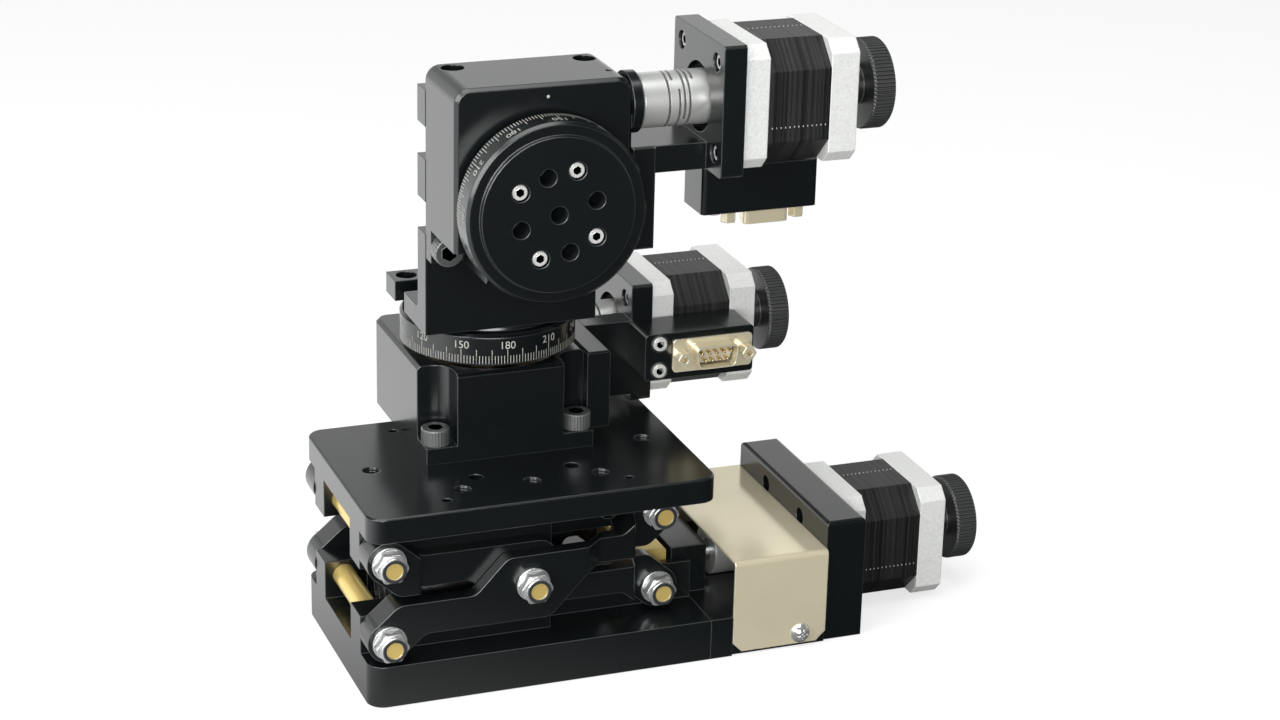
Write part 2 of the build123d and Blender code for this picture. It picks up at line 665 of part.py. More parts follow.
def make_dial(hole_angle):
    """Graduated dial with its mounting face, neck and hollow spindle in one turned piece."""
    profile = [(0, 5.0), (spindle_r, 5.0), (spindle_r, housing_height + 0.4),
               (dial_neck_r, housing_height + 0.4), (dial_neck_r, dial_bottom),
               (dial_r, dial_bottom), (dial_r, dial_rim_top - 1.0), (dial_r - 1.0, dial_rim_top),
               (dial_face_r + 0.4, dial_rim_top), (dial_face_r, dial_face), (0, dial_face)]
    face = make_face(Polyline(*profile, close=True))
    body = revolve(Plane.XZ * face, Axis.Z)
    body -= rod_z(m6_r, 4, dial_face + 1, 0, 0)
    for x, y in ring_places(dial_holes_pcd / 2, hole_angle, (0, 90, 180, 270)):
        body -= rod_z(m6_r, dial_bottom + 0.5, dial_face + 1, x, y)
    for x, y in dial_screw_places(hole_angle):
        body -= rod_z(m3_head_r + 0.35, dial_face - m3_head - 0.6, dial_face + 1, x, y)
        body -= rod_z(m3_r + slip, dial_bottom - 1, dial_face, x, y)
    return body


def ring_places(r, start, turns):
    """Points on a circle at start plus each turn, in degrees."""
    angles = [math.radians(start + turn) for turn in turns]
    return [(r * math.cos(a), r * math.sin(a)) for a in angles]


def dial_screw_places(hole_angle):
    half = dial_screw_half_angle
    return ring_places(dial_screw_ring_r, hole_angle, (-half, half, 180 - half, 180 + half))


def make_rotation_stage(hole_angle):
    """All pieces of one rotation stage by node name, in its own frame."""
    parts = {}
    parts["housing"] = make_housing()
    parts["motor_bracket"] = make_motor_bracket()
    motor_x = bracket_plate_x + bracket_plate_thickness
    at_motor = Pos(motor_x, worm_axis_y, worm_axis_z)
    parts["motor_caps"] = [at_motor * piece for piece in motor_caps()]
    parts["motor_stack"] = [at_motor * motor_laminations()]
    screws = [at_motor * screw for screw in motor_screws(bracket_plate_thickness, 4.0)]
    box_face = beam_y0 - box_depth
    box_screw = cap_screw(m3_head_r, m3_head, m3_r, box_depth + 4.0, 1.5)
    screws += [Pos(box_screw_x, box_face + 2.2, z) * Rot(90, 0, 0) * box_screw for z in box_screw_z]
    block_screw = cap_screw(3.4, 4.0, 1.95, 12.0, 1.7)
    screws += [Pos(bracket_block_x - 4.2, y, z) * Rot(0, 90, 0) * block_screw
               for y, z in bracket_screw_places()]
    parts["cap_screws"] = screws
    parts["connector_box"] = make_connector_box()
    parts["connector_metal"] = make_connector_metal()
    foot_screw = cap_screw(m6_head_r, m6_head, m6_r - slip, foot_flange + 8.0, 2.9)
    parts["foot_screws"] = [Pos(side * foot_screw_x, foot_screw_y, foot_flange) * foot_screw
                            for side in (-1, 1)]
    inner = spindle_r + slip
    spindle_bearing = rod_z(15.0, 5.2, 11.8, 0, 0) - rod_z(inner, 5, 12, 0, 0)
    worm_inner = worm_shaft_r + slip
    parts["bearings"] = [spindle_bearing]
    for x0 in (-25.5, housing_half - 6.0):
        parts["bearings"].append(ring_x(worm_bore_r, worm_inner, x0, x0 + 5.0, worm_axis_y, worm_axis_z))
    parts["dial"] = make_dial(hole_angle)
    z1 = worm_axis_z + wheel_thickness / 2
    wheel = rod_z(wheel_r, wheel_bottom, z1, 0, 0) - rod_z(inner, wheel_bottom - 1, z1 + 1, 0, 0)
    parts["worm_wheel"] = wheel
    top_screw = cap_screw(m3_head_r, m3_head, m3_r, dial_face - m3_head - 0.6 - dial_bottom, 1.5)
    parts["dial_screws"] = [Pos(x, y, dial_face - m3_head - 0.6) * top_screw
                            for x, y in dial_screw_places(hole_angle)]
    worm = rod_x(worm_shaft_r, -26.0 + 0.5, coupling_x0 + 9.0, worm_axis_y, worm_axis_z)
    worm += rod_x(worm_r, -15, 15, worm_axis_y, worm_axis_z)
    parts["worm_shaft"] = worm
    coupling = slit_coupling(worm_shaft_r, motor_shaft_r)
    parts["coupling"] = Pos(coupling_x0, worm_axis_y, worm_axis_z) * coupling
    parts["motor_shaft"] = at_motor * motor_axle(motor_x - coupling_x0 - coupling_length * 0.7)
    parts["knob"] = at_motor * hand_knob()
    return parts


# ================================================================ angle bracket
def make_angle_bracket():
    """Angle bracket: foot on the lower dial, upright behind the upper stage, open side slots."""
    half = angle_width / 2
    y0 = angle_plate_front
    z0 = dial_top_z
    upright = block(-half, half, y0, y0 + angle_plate_thickness, z0, z0 + angle_height)
    foot = block(-half, half, y0, y0 + angle_depth, z0, z0 + angle_foot_thickness)
    body = upright + foot
    inner_edge = body.edges().filter_by(Axis.X).filter_by_position(
        Axis.Z, z0 + angle_foot_thickness - 0.01, z0 + angle_foot_thickness + 0.01)
    inner_edge = inner_edge.filter_by_position(
        Axis.Y, y0 + angle_plate_thickness - 0.01, y0 + angle_plate_thickness + 0.01)
    body = fillet(inner_edge, 2.0)
    slot_half = angle_slot / 2
    for side in (-1, 1):
        tip = side * (half - angle_slot_depth)
        edge = side * (half + 1)
        for z in (z0 + 42.0, z0 + 68.2):
            body -= block(min(tip, edge), max(tip, edge), y0 - 1, y0 + angle_plate_thickness + 1,
                          z - slot_half, z + slot_half)
            body -= rod_y(slot_half, y0 - 1, y0 + angle_plate_thickness + 1, tip, z)
        y = y0 + 31.2
        body -= block(min(tip, edge), max(tip, edge), y - slot_half, y + slot_half,
                      z0 - 1, z0 + angle_foot_thickness + 1)
        body -= rod_z(slot_half, z0 - 1, z0 + angle_foot_thickness + 1, tip, y)
        body -= rod_z(3.8, z0 - 1, z0 + angle_foot_thickness + 1, side * 25.0, y0 + 42.5)
        z = axis_z_upper + foot_screw_y
        body -= rod_y(m6_r, y0 - 1, y0 + angle_plate_thickness + 1, side * foot_screw_x, z)
    for x, y in ring_places(dial_holes_pcd / 2, 45.0, (0, 90, 180, 270)):
        body -= rod_z(m6_r + 0.4, z0 - 1, z0 + angle_foot_thickness + 1, x, y + axis_y_lower)
    return body


def bracket_screws():
    """Four screws through the bracket's foot into the lower dial."""
    shank = angle_foot_thickness + 9.0
    screw = cap_screw(m6_head_r, m6_head, m6_r - slip, shank, 2.9)
    z = dial_top_z + angle_foot_thickness
    return [Pos(x, y + axis_y_lower, z) * screw
            for x, y in ring_places(dial_holes_pcd / 2, 45.0, (0, 90, 180, 270))]


# ================================================================ write the lift
save("base_body", make_base())
save("platform", make_platform())

front_rising = rising_arm()
save("rising_arms", [front_rising, mirror_y(front_rising)])
front_falling = falling_arm()
save("falling_arms", [front_falling, mirror_y(front_falling)])

save("lower_pivot_shaft", pivot_shaft(pivot_x, base_pivot_z, wall_outer, end_nut_seat))
save("lower_pivot_nuts", side_fasteners(pivot_x, base_pivot_z, end_nut_seat))
save("upper_pivot_shaft", pivot_shaft(pivot_x, platform_pivot_z, wall_outer, end_nut_seat))
save("upper_pivot_nuts", side_fasteners(pivot_x, platform_pivot_z, end_nut_seat))
centre_shoulder = inner_layer + arm_thickness + seat_gap
save("centre_shaft", pivot_shaft(centre_x, centre_z, centre_shoulder, end_nut_seat))
save("centre_nuts", side_fasteners(centre_x, centre_z, end_nut_seat))
save("slider_shaft", pivot_shaft(slider_x, platform_pivot_z, channel_half - 0.3, deep_nut_seat))
save("slider_nuts", side_fasteners(slider_x, platform_pivot_z, deep_nut_seat))
save("carriage", make_carriage())
save("carriage_nuts", side_fasteners(slider_x, base_pivot_z, deep_nut_seat))

save("drive_block", make_drive_block())
save("drive_cover", make_cover())
save("cover_screws", pan_screws())
half_plate = motor_plate_width / 2
motor_face = drive_block_end + motor_plate_thickness
lift_plate = block(drive_block_end, motor_face, -half_plate, half_plate, 0, motor_plate_top)
lift_plate = fillet(lift_plate.edges().group_by(Axis.Z)[-1], 1.5)
save("motor_plate", cut_motor_holes(lift_plate, motor_face, motor_plate_thickness, 6.0,
                                    0, screw_axis_z, 12.0))
at_lift_motor = Pos(motor_face, 0, screw_axis_z)
save("lift_motor_caps", [at_lift_motor * piece for piece in motor_caps()])
save("lift_motor_stack", [at_lift_motor * motor_laminations()])
save("lift_motor_screws", [at_lift_motor * screw for screw in motor_screws(motor_plate_thickness, 6.0)])
left_bearing = ring_x(screw_bearing_r, screw_end_r + slip, pivot_x + 9, pivot_x + 14, 0, screw_axis_z)
right_bearing = ring_x(screw_bearing_r, screw_end_r + slip, base_right + 1, base_right + 6,
                       0, screw_axis_z)
save("screw_bearings", [left_bearing, right_bearing])
coupling_start = bearing_wall_end + 7.0
lead_screw = rod_x(screw_end_r, pivot_x + 9, coupling_start + 9.0, 0, screw_axis_z)
lead_screw += rod_x(screw_r, pivot_x + 14.5, base_right + 0.5, 0, screw_axis_z)
save("lead_screw", lead_screw)
save("lift_coupling", Pos(coupling_start, 0, screw_axis_z) * slit_coupling(screw_end_r, motor_shaft_r))
lift_axle_reach = motor_face - coupling_start - coupling_length * 0.7
save("lift_motor_shaft", at_lift_motor * motor_axle(lift_axle_reach))
save("lift_knob", at_lift_motor * hand_knob())

# ================================================================ write the rotation stages
lower_place = Pos(0, axis_y_lower, platform_top)
upper_place = Pos(0, angle_plate_front, axis_z_upper) * Rot(90, 0, 0)
for prefix, place, hole_angle in (("lower", lower_place, 45.0), ("upper", upper_place, 107.0)):
    for name, pieces in make_rotation_stage(hole_angle).items():
        if not isinstance(pieces, list):
            pieces = [pieces]
        save(f"{prefix}_{name}", [place * piece for piece in pieces])
save("angle_bracket", make_angle_bracket())
save("bracket_screws", bracket_screws())
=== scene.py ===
import math
import bmesh
import bpy
from mathutils import Matrix, Vector


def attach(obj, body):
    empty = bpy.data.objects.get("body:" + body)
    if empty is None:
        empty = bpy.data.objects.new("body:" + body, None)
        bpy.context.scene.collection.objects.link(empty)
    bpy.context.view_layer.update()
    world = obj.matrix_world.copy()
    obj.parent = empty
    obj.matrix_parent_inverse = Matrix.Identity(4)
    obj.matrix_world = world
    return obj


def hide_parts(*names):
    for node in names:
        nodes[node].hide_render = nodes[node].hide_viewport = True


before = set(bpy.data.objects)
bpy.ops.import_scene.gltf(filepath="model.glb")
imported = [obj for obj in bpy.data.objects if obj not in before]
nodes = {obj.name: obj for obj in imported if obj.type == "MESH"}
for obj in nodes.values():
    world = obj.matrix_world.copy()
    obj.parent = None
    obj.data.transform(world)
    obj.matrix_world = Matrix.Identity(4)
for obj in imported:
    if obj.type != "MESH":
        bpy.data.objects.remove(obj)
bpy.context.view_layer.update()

# ------------------------------------------------------------------ stage
# A plain pale floor under a white background.  The camera sees both almost white.  Gloss
# sees them bright behind the object, dark in front of it and dark above the backdrop.
scene = bpy.context.scene
scene.view_settings.view_transform = "Standard"
floor_half = 3.0
floor_drop = 0.0002
floor_seen_glow = 0.68
floor_gloss_glow = 1.3
floor_dark_y = -0.15
floor_bright_y = 0.25
floor_lean = -0.8
floor_pale = (0.36, 0.36, 0.36, 1)
floor_dark = (0.02, 0.02, 0.02, 1)
white = (1, 1, 1, 1)
floor_mesh = bpy.data.meshes.new("floor")
bm = bmesh.new()
bmesh.ops.create_grid(bm, x_segments=1, y_segments=1, size=floor_half)
bmesh.ops.translate(bm, verts=bm.verts, vec=(0, 0, -floor_drop))
bm.to_mesh(floor_mesh)
bm.free()
floor = bpy.data.objects.new("floor", floor_mesh)
scene.collection.objects.link(floor)
floor_finish = bpy.data.materials.new("pale_floor")
floor_finish.use_nodes = True
tree = floor_finish.node_tree
tree.nodes.clear()
floor_out = tree.nodes.new("ShaderNodeOutputMaterial")
floor_paint = tree.nodes.new("ShaderNodeBsdfDiffuse")
floor_glow = tree.nodes.new("ShaderNodeEmission")
floor_glow.inputs["Color"].default_value = white
floor_rays = tree.nodes.new("ShaderNodeLightPath")
floor_seen = tree.nodes.new("ShaderNodeMath")
floor_seen.operation = "MULTIPLY"
floor_seen.inputs[1].default_value = floor_seen_glow
floor_where = tree.nodes.new("ShaderNodeTexCoord")
floor_axes = tree.nodes.new("ShaderNodeSeparateXYZ")
floor_ramp = tree.nodes.new("ShaderNodeMapRange")
floor_ramp.interpolation_type = "SMOOTHSTEP"
floor_ramp.inputs["From Min"].default_value = floor_dark_y
floor_ramp.inputs["From Max"].default_value = floor_bright_y
floor_ramp.inputs["To Min"].default_value = 0.0
floor_ramp.inputs["To Max"].default_value = floor_gloss_glow
floor_slant = tree.nodes.new("ShaderNodeMath")
floor_slant.operation = "MULTIPLY_ADD"
floor_slant.inputs[1].default_value = floor_lean
floor_level = tree.nodes.new("ShaderNodeMath")
floor_level.operation = "MULTIPLY_ADD"
floor_tone = tree.nodes.new("ShaderNodeMix")
floor_tone.data_type = "RGBA"
floor_tone.inputs[6].default_value = floor_pale
floor_tone.inputs[7].default_value = floor_dark
floor_sum = tree.nodes.new("ShaderNodeAddShader")
tree.links.new(floor_where.outputs["Object"], floor_axes.inputs[0])
tree.links.new(floor_axes.outputs["X"], floor_slant.inputs[0])
tree.links.new(floor_axes.outputs["Y"], floor_slant.inputs[2])
tree.links.new(floor_slant.outputs[0], floor_ramp.inputs["Value"])
tree.links.new(floor_rays.outputs["Is Camera Ray"], floor_seen.inputs[0])
tree.links.new(floor_rays.outputs["Is Glossy Ray"], floor_level.inputs[0])
tree.links.new(floor_ramp.outputs["Result"], floor_level.inputs[1])
tree.links.new(floor_seen.outputs[0], floor_level.inputs[2])
tree.links.new(floor_level.outputs[0], floor_glow.inputs["Strength"])
tree.links.new(floor_rays.outputs["Is Glossy Ray"], floor_tone.inputs[0])
tree.links.new(floor_tone.outputs[2], floor_paint.inputs["Color"])
tree.links.new(floor_paint.outputs[0], floor_sum.inputs[0])
tree.links.new(floor_glow.outputs[0], floor_sum.inputs[1])
tree.links.new(floor_sum.outputs[0], floor_out.inputs["Surface"])
floor.data.materials.append(floor_finish)

room_dark = 0.05
room_bright = 1.0
room_dark_y = -0.55
room_bright_y = 0.75
wall_lean = -0.15
wall_end = 0.36
wall_gone = 0.44
wall_loss = -0.88
world = bpy.data.worlds.new("studio")
scene.world = world
world.use_nodes = True
tree = world.node_tree
tree.nodes.clear()
world_out = tree.nodes.new("ShaderNodeOutputWorld")
room_where = tree.nodes.new("ShaderNodeTexCoord")
room_axes = tree.nodes.new("ShaderNodeSeparateXYZ")
room_ramp = tree.nodes.new("ShaderNodeMapRange")
room_ramp.interpolation_type = "SMOOTHSTEP"
room_ramp.inputs["From Min"].default_value = room_dark_y
room_ramp.inputs["From Max"].default_value = room_bright_y
room_ramp.inputs["To Min"].default_value = room_dark
room_ramp.inputs["To Max"].default_value = room_bright
room = tree.nodes.new("ShaderNodeBackground")
room.inputs["Color"].default_value = white
backdrop = tree.nodes.new("ShaderNodeBackground")
backdrop.inputs["Color"].default_value = white
backdrop.inputs["Strength"].default_value = 1.0
world_rays = tree.nodes.new("ShaderNodeLightPath")
wall_top = tree.nodes.new("ShaderNodeMapRange")
wall_top.interpolation_type = "SMOOTHSTEP"
wall_top.inputs["From Min"].default_value = wall_end
wall_top.inputs["From Max"].default_value = wall_gone
wall_top.inputs["To Min"].default_value = 0.0
wall_top.inputs["To Max"].default_value = wall_loss
wall_slant = tree.nodes.new("ShaderNodeMath")
wall_slant.operation = "MULTIPLY_ADD"
wall_slant.inputs[1].default_value = wall_lean
wall_gloss = tree.nodes.new("ShaderNodeMath")
wall_gloss.operation = "MULTIPLY_ADD"
wall_gloss.inputs[2].default_value = 1.0
wall_level = tree.nodes.new("ShaderNodeMath")
wall_level.operation = "MULTIPLY"
world_mix = tree.nodes.new("ShaderNodeMixShader")
tree.links.new(room_where.outputs["Generated"], room_axes.inputs[0])
tree.links.new(room_axes.outputs["Y"], room_ramp.inputs["Value"])
tree.links.new(room_axes.outputs["X"], wall_slant.inputs[0])
tree.links.new(room_axes.outputs["Z"], wall_slant.inputs[2])
tree.links.new(wall_slant.outputs[0], wall_top.inputs["Value"])
tree.links.new(wall_top.outputs["Result"], wall_gloss.inputs[0])
tree.links.new(world_rays.outputs["Is Glossy Ray"], wall_gloss.inputs[1])
tree.links.new(wall_gloss.outputs[0], wall_level.inputs[0])
tree.links.new(room_ramp.outputs["Result"], wall_level.inputs[1])
tree.links.new(wall_level.outputs[0], room.inputs["Strength"])
tree.links.new(world_rays.outputs["Is Camera Ray"], world_mix.inputs[0])
tree.links.new(room.outputs[0], world_mix.inputs[1])
tree.links.new(backdrop.outputs[0], world_mix.inputs[2])
tree.links.new(world_mix.outputs[0], world_out.inputs["Surface"])

# ------------------------------------------------------------------ lamps and camera
# Three large soft boxes: at the left, overhead and low in front.  The camera
# stands at the left front, looking slightly down.
aim = Vector((0.045, 0.02, 0.10))


def soft_box(name, place, width, height, watts):
    """Rectangular lamp that faces the object."""
    lamp = bpy.data.lights.new(name, "AREA")
    lamp.shape = "RECTANGLE"
    lamp.size = width
    lamp.size_y = height
    lamp.energy = watts
    holder = bpy.data.objects.new(name, lamp)
    holder.location = place
    holder.rotation_euler = (aim - Vector(place)).to_track_quat("-Z", "Y").to_euler()
    scene.collection.objects.link(holder)


soft_box("left_box", (-1.10, -0.55, 0.70), 0.8, 1.0, 12.0)
soft_box("top_box", (-0.10, -0.25, 1.25), 1.0, 0.9, 8.5)
soft_box("front_box", (-0.35, -1.35, 0.40), 0.9, 0.7, 15.0)

camera_place = (-0.302, -0.900, 0.4635)
azimuth = math.radians(21.27)
elevation = math.radians(20.66)
roll = math.radians(1.46)
back = Vector((-math.sin(azimuth) * math.cos(elevation), -math.cos(azimuth) * math.cos(elevation),
               math.sin(elevation)))
level_right = Vector((math.cos(azimuth), -math.sin(azimuth), 0))
level_up = back.cross(level_right)
right = level_right * math.cos(roll) + level_up * math.sin(roll)
up = level_up * math.cos(roll) - level_right * math.sin(roll)
eye = bpy.data.cameras.new("camera")
eye.sensor_fit = "HORIZONTAL"
eye.sensor_width = 36.0
eye.lens = 82.35
camera = bpy.data.objects.new("camera", eye)
turn = Matrix((right, up, back)).transposed().to_4x4()
camera.matrix_world = Matrix.Translation(camera_place) @ turn
scene.collection.objects.link(camera)
scene.camera = camera

# ------------------------------------------------------------------ surface variation
# One shader group for the fine unevenness that every metal finish here shows: a cloudy
# tone, a change of roughness and a fine grain.  It also rounds the edges and paints them in
# the Edge colour: a painted highlight along the edges, and painted shade on the couplings.
edge_radius = 0.00055
edge_from = 0.995
edge_to = 0.85
grain_depth = 0.00002
variation = bpy.data.node_groups.new("metal_variation", "ShaderNodeTree")
for name, value in (("Cloud Scale", 60.0), ("Grain Scale", 2500.0), ("Low", 0.3), ("High", 0.4)):
    socket = variation.interface.new_socket(name, in_out="INPUT", socket_type="NodeSocketFloat")
    socket.default_value = value
for name in ("Dark", "Light", "Edge"):
    variation.interface.new_socket(name, in_out="INPUT", socket_type="NodeSocketColor")
variation.interface.new_socket("Color", in_out="OUTPUT", socket_type="NodeSocketColor")
variation.interface.new_socket("Roughness", in_out="OUTPUT", socket_type="NodeSocketFloat")
variation.interface.new_socket("Grain", in_out="OUTPUT", socket_type="NodeSocketFloat")
variation.interface.new_socket("Rounded", in_out="OUTPUT", socket_type="NodeSocketVector")
enter = variation.nodes.new("NodeGroupInput")
leave = variation.nodes.new("NodeGroupOutput")
where = variation.nodes.new("ShaderNodeTexCoord")
cloud = variation.nodes.new("ShaderNodeTexNoise")
cloud.inputs["Detail"].default_value = 4.0
grain = variation.nodes.new("ShaderNodeTexNoise")
grain.inputs["Detail"].default_value = 2.0
tone = variation.nodes.new("ShaderNodeMix")
tone.data_type = "RGBA"
polish = variation.nodes.new("ShaderNodeMapRange")
rounding = variation.nodes.new("ShaderNodeBevel")
rounding.samples = 8
rounding.inputs["Radius"].default_value = edge_radius
facing = variation.nodes.new("ShaderNodeNewGeometry")
agree = variation.nodes.new("ShaderNodeVectorMath")
agree.operation = "DOT_PRODUCT"
# Painted edge light: where the rounded normal parts from the true one, the colour turns to the Edge
# colour, a painted highlight on most finishes and painted shade on the couplings.
painted_edge_mask = variation.nodes.new("ShaderNodeMapRange")
painted_edge_mask.inputs["From Min"].default_value = edge_from
painted_edge_mask.inputs["From Max"].default_value = edge_to
painted_edge_tone = variation.nodes.new("ShaderNodeMix")
painted_edge_tone.data_type = "RGBA"
variation.links.new(where.outputs["Object"], cloud.inputs["Vector"])
variation.links.new(where.outputs["Object"], grain.inputs["Vector"])
variation.links.new(enter.outputs["Cloud Scale"], cloud.inputs["Scale"])
variation.links.new(enter.outputs["Grain Scale"], grain.inputs["Scale"])
variation.links.new(cloud.outputs["Fac"], tone.inputs[0])
variation.links.new(enter.outputs["Dark"], tone.inputs[6])
variation.links.new(enter.outputs["Light"], tone.inputs[7])
variation.links.new(grain.outputs["Fac"], polish.inputs["Value"])
variation.links.new(enter.outputs["Low"], polish.inputs["To Min"])
variation.links.new(enter.outputs["High"], polish.inputs["To Max"])
variation.links.new(rounding.outputs["Normal"], agree.inputs[0])
variation.links.new(facing.outputs["Normal"], agree.inputs[1])
variation.links.new(agree.outputs["Value"], painted_edge_mask.inputs["Value"])
variation.links.new(painted_edge_mask.outputs["Result"], painted_edge_tone.inputs[0])
variation.links.new(tone.outputs[2], painted_edge_tone.inputs[6])
variation.links.new(enter.outputs["Edge"], painted_edge_tone.inputs[7])
variation.links.new(painted_edge_tone.outputs[2], leave.inputs["Color"])
variation.links.new(polish.outputs["Result"], leave.inputs["Roughness"])
variation.links.new(grain.outputs["Fac"], leave.inputs["Grain"])
variation.links.new(rounding.outputs["Normal"], leave.inputs["Rounded"])


def metal_finish(name, dark, light, edge, low, high, metallic, cloud_scale, grain_scale, bump):
    """Material that takes tone, roughness, grain, rounded edges and a painted edge colour from the
    variation group.
    """
    finish = bpy.data.materials.new(name)
    finish.use_nodes = True
    tree = finish.node_tree
    shader = tree.nodes["Principled BSDF"]
    shader.inputs["Metallic"].default_value = metallic
    vary = tree.nodes.new("ShaderNodeGroup")
    vary.name = "vary"
    vary.node_tree = variation
    vary.inputs["Dark"].default_value = (*dark, 1)
    vary.inputs["Light"].default_value = (*light, 1)
    vary.inputs["Edge"].default_value = (*edge, 1)
    vary.inputs["Low"].default_value = low
    vary.inputs["High"].default_value = high
    vary.inputs["Cloud Scale"].default_value = cloud_scale
    vary.inputs["Grain Scale"].default_value = grain_scale
    relief = tree.nodes.new("ShaderNodeBump")
    relief.name = "relief"
    relief.inputs["Strength"].default_value = bump
    relief.inputs["Distance"].default_value = grain_depth
    tree.links.new(vary.outputs["Rounded"], relief.inputs["Normal"])
    tree.links.new(vary.outputs["Grain"], relief.inputs["Height"])
    tree.links.new(vary.outputs["Color"], shader.inputs["Base Color"])
    tree.links.new(vary.outputs["Roughness"], shader.inputs["Roughness"])
    tree.links.new(relief.outputs["Normal"], shader.inputs["Normal"])
    return finish


def coat_node(node, finish):
    """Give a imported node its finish."""
    slots = nodes[node].data.materials
    if len(slots) == 0:
        slots.append(finish)
    for index in range(len(slots)):
        slots[index] = finish


# ------------------------------------------------------------------ black plates and housings
# Milled aluminium, bead blasted and anodised black with a satin gloss: base, platform, arms,
# motor plates, housings, dials, angle bracket and connector boxes.
# The Edge colour here is far lighter than the black: a painted highlight along every edge, where
# light catches the rounded corners.
anodised = metal_finish("satin_black_anodising", (0.0030, 0.0046, 0.0050), (0.0052, 0.0072, 0.0076),
                        (0.060, 0.066, 0.068), 0.19, 0.26, 0.0, 30.0, 3200.0, 0.06)
black_gloss = 0.9
anodised.node_tree.nodes["Principled BSDF"].inputs["Specular IOR Level"].default_value = black_gloss
for node in ("base_body", "platform", "rising_arms", "falling_arms", "motor_plate", "drive_block",
             "angle_bracket"):
    coat_node(node, anodised)
for stage in ("lower", "upper"):
    for piece in ("housing", "motor_bracket", "dial", "connector_box"):
        coat_node(f"{stage}_{piece}", anodised)

# ------------------------------------------------------------------ motor end caps
# Die cast aluminium caps of the stepper motors, bead blasted to a pale matte grey.  They
# close the stator stack at both ends and hold the shaft's bearings.
cast = metal_finish("blasted_casting", (0.60, 0.61, 0.60), (0.92, 0.93, 0.91), (0.94, 0.95, 0.93),
                    0.40, 0.55, 0.20, 1300.0, 1300.0, 1.0)
for motor in ("lift", "lower", "upper"):
    coat_node(f"{motor}_motor_caps", cast)

# ------------------------------------------------------------------ motor stator stacks
# Half millimetre electrical steel sheets, stacked along the shaft and varnished almost black,
# with their edges as fine lines round the motor.
laminated = metal_finish("stacked_sheets", (0.060, 0.062, 0.060), (0.130, 0.132, 0.128),
                         (0.20, 0.20, 0.20), 0.34, 0.50, 0.3, 120.0, 2500.0, 0.3)
tree = laminated.node_tree
sheet_pitch = 0.0005
sheet_groove = 0.00006
sheet_gap_tone = (0.006, 0.006, 0.007, 1)
band_scale = (900.0, 4.0, 4.0)
band_low = 0.40
band_high = 0.62
sheet_where = tree.nodes.new("ShaderNodeTexCoord")
sheet_axes = tree.nodes.new("ShaderNodeSeparateXYZ")
sheet_count = tree.nodes.new("ShaderNodeMath")
sheet_count.operation = "MULTIPLY"
sheet_count.inputs[1].default_value = 1.0 / sheet_pitch
sheet_wave = tree.nodes.new("ShaderNodeMath")
sheet_wave.operation = "PINGPONG"
sheet_wave.inputs[1].default_value = 0.5
sheet_relief = tree.nodes.new("ShaderNodeBump")
sheet_relief.inputs["Strength"].default_value = 0.8
sheet_relief.inputs["Distance"].default_value = sheet_groove
band_map = tree.nodes.new("ShaderNodeMapping")
band_map.inputs["Scale"].default_value = band_scale
band = tree.nodes.new("ShaderNodeTexNoise")
band.inputs["Scale"].default_value = 1.0
band.inputs["Detail"].default_value = 2.0
band_level = tree.nodes.new("ShaderNodeMapRange")
band_level.inputs["From Min"].default_value = band_low
band_level.inputs["From Max"].default_value = band_high
sheet_shade = tree.nodes.new("ShaderNodeMath")
sheet_shade.operation = "MULTIPLY"
sheet_tone = tree.nodes.new("ShaderNodeMix")
sheet_tone.data_type = "RGBA"
sheet_tone.inputs[6].default_value = sheet_gap_tone
tree.links.new(sheet_where.outputs["Object"], sheet_axes.inputs[0])
tree.links.new(sheet_axes.outputs["X"], sheet_count.inputs[0])
tree.links.new(sheet_count.outputs[0], sheet_wave.inputs[0])
tree.links.new(sheet_wave.outputs[0], sheet_relief.inputs["Height"])
tree.links.new(tree.nodes["relief"].outputs["Normal"], sheet_relief.inputs["Normal"])
tree.links.new(sheet_where.outputs["Object"], band_map.inputs["Vector"])
tree.links.new(band_map.outputs["Vector"], band.inputs["Vector"])
tree.links.new(band.outputs["Fac"], band_level.inputs["Value"])
tree.links.new(sheet_wave.outputs[0], sheet_shade.inputs[0])
tree.links.new(band_level.outputs["Result"], sheet_shade.inputs[1])
tree.links.new(sheet_shade.outputs[0], sheet_tone.inputs[0])
tree.links.new(tree.nodes["vary"].outputs["Color"], sheet_tone.inputs[7])
tree.links.new(sheet_tone.outputs[2], tree.nodes["Principled BSDF"].inputs["Base Color"])
tree.links.new(sheet_relief.outputs["Normal"], tree.nodes["Principled BSDF"].inputs["Normal"])
for motor in ("lift", "lower", "upper"):
    coat_node(f"{motor}_motor_stack", laminated)

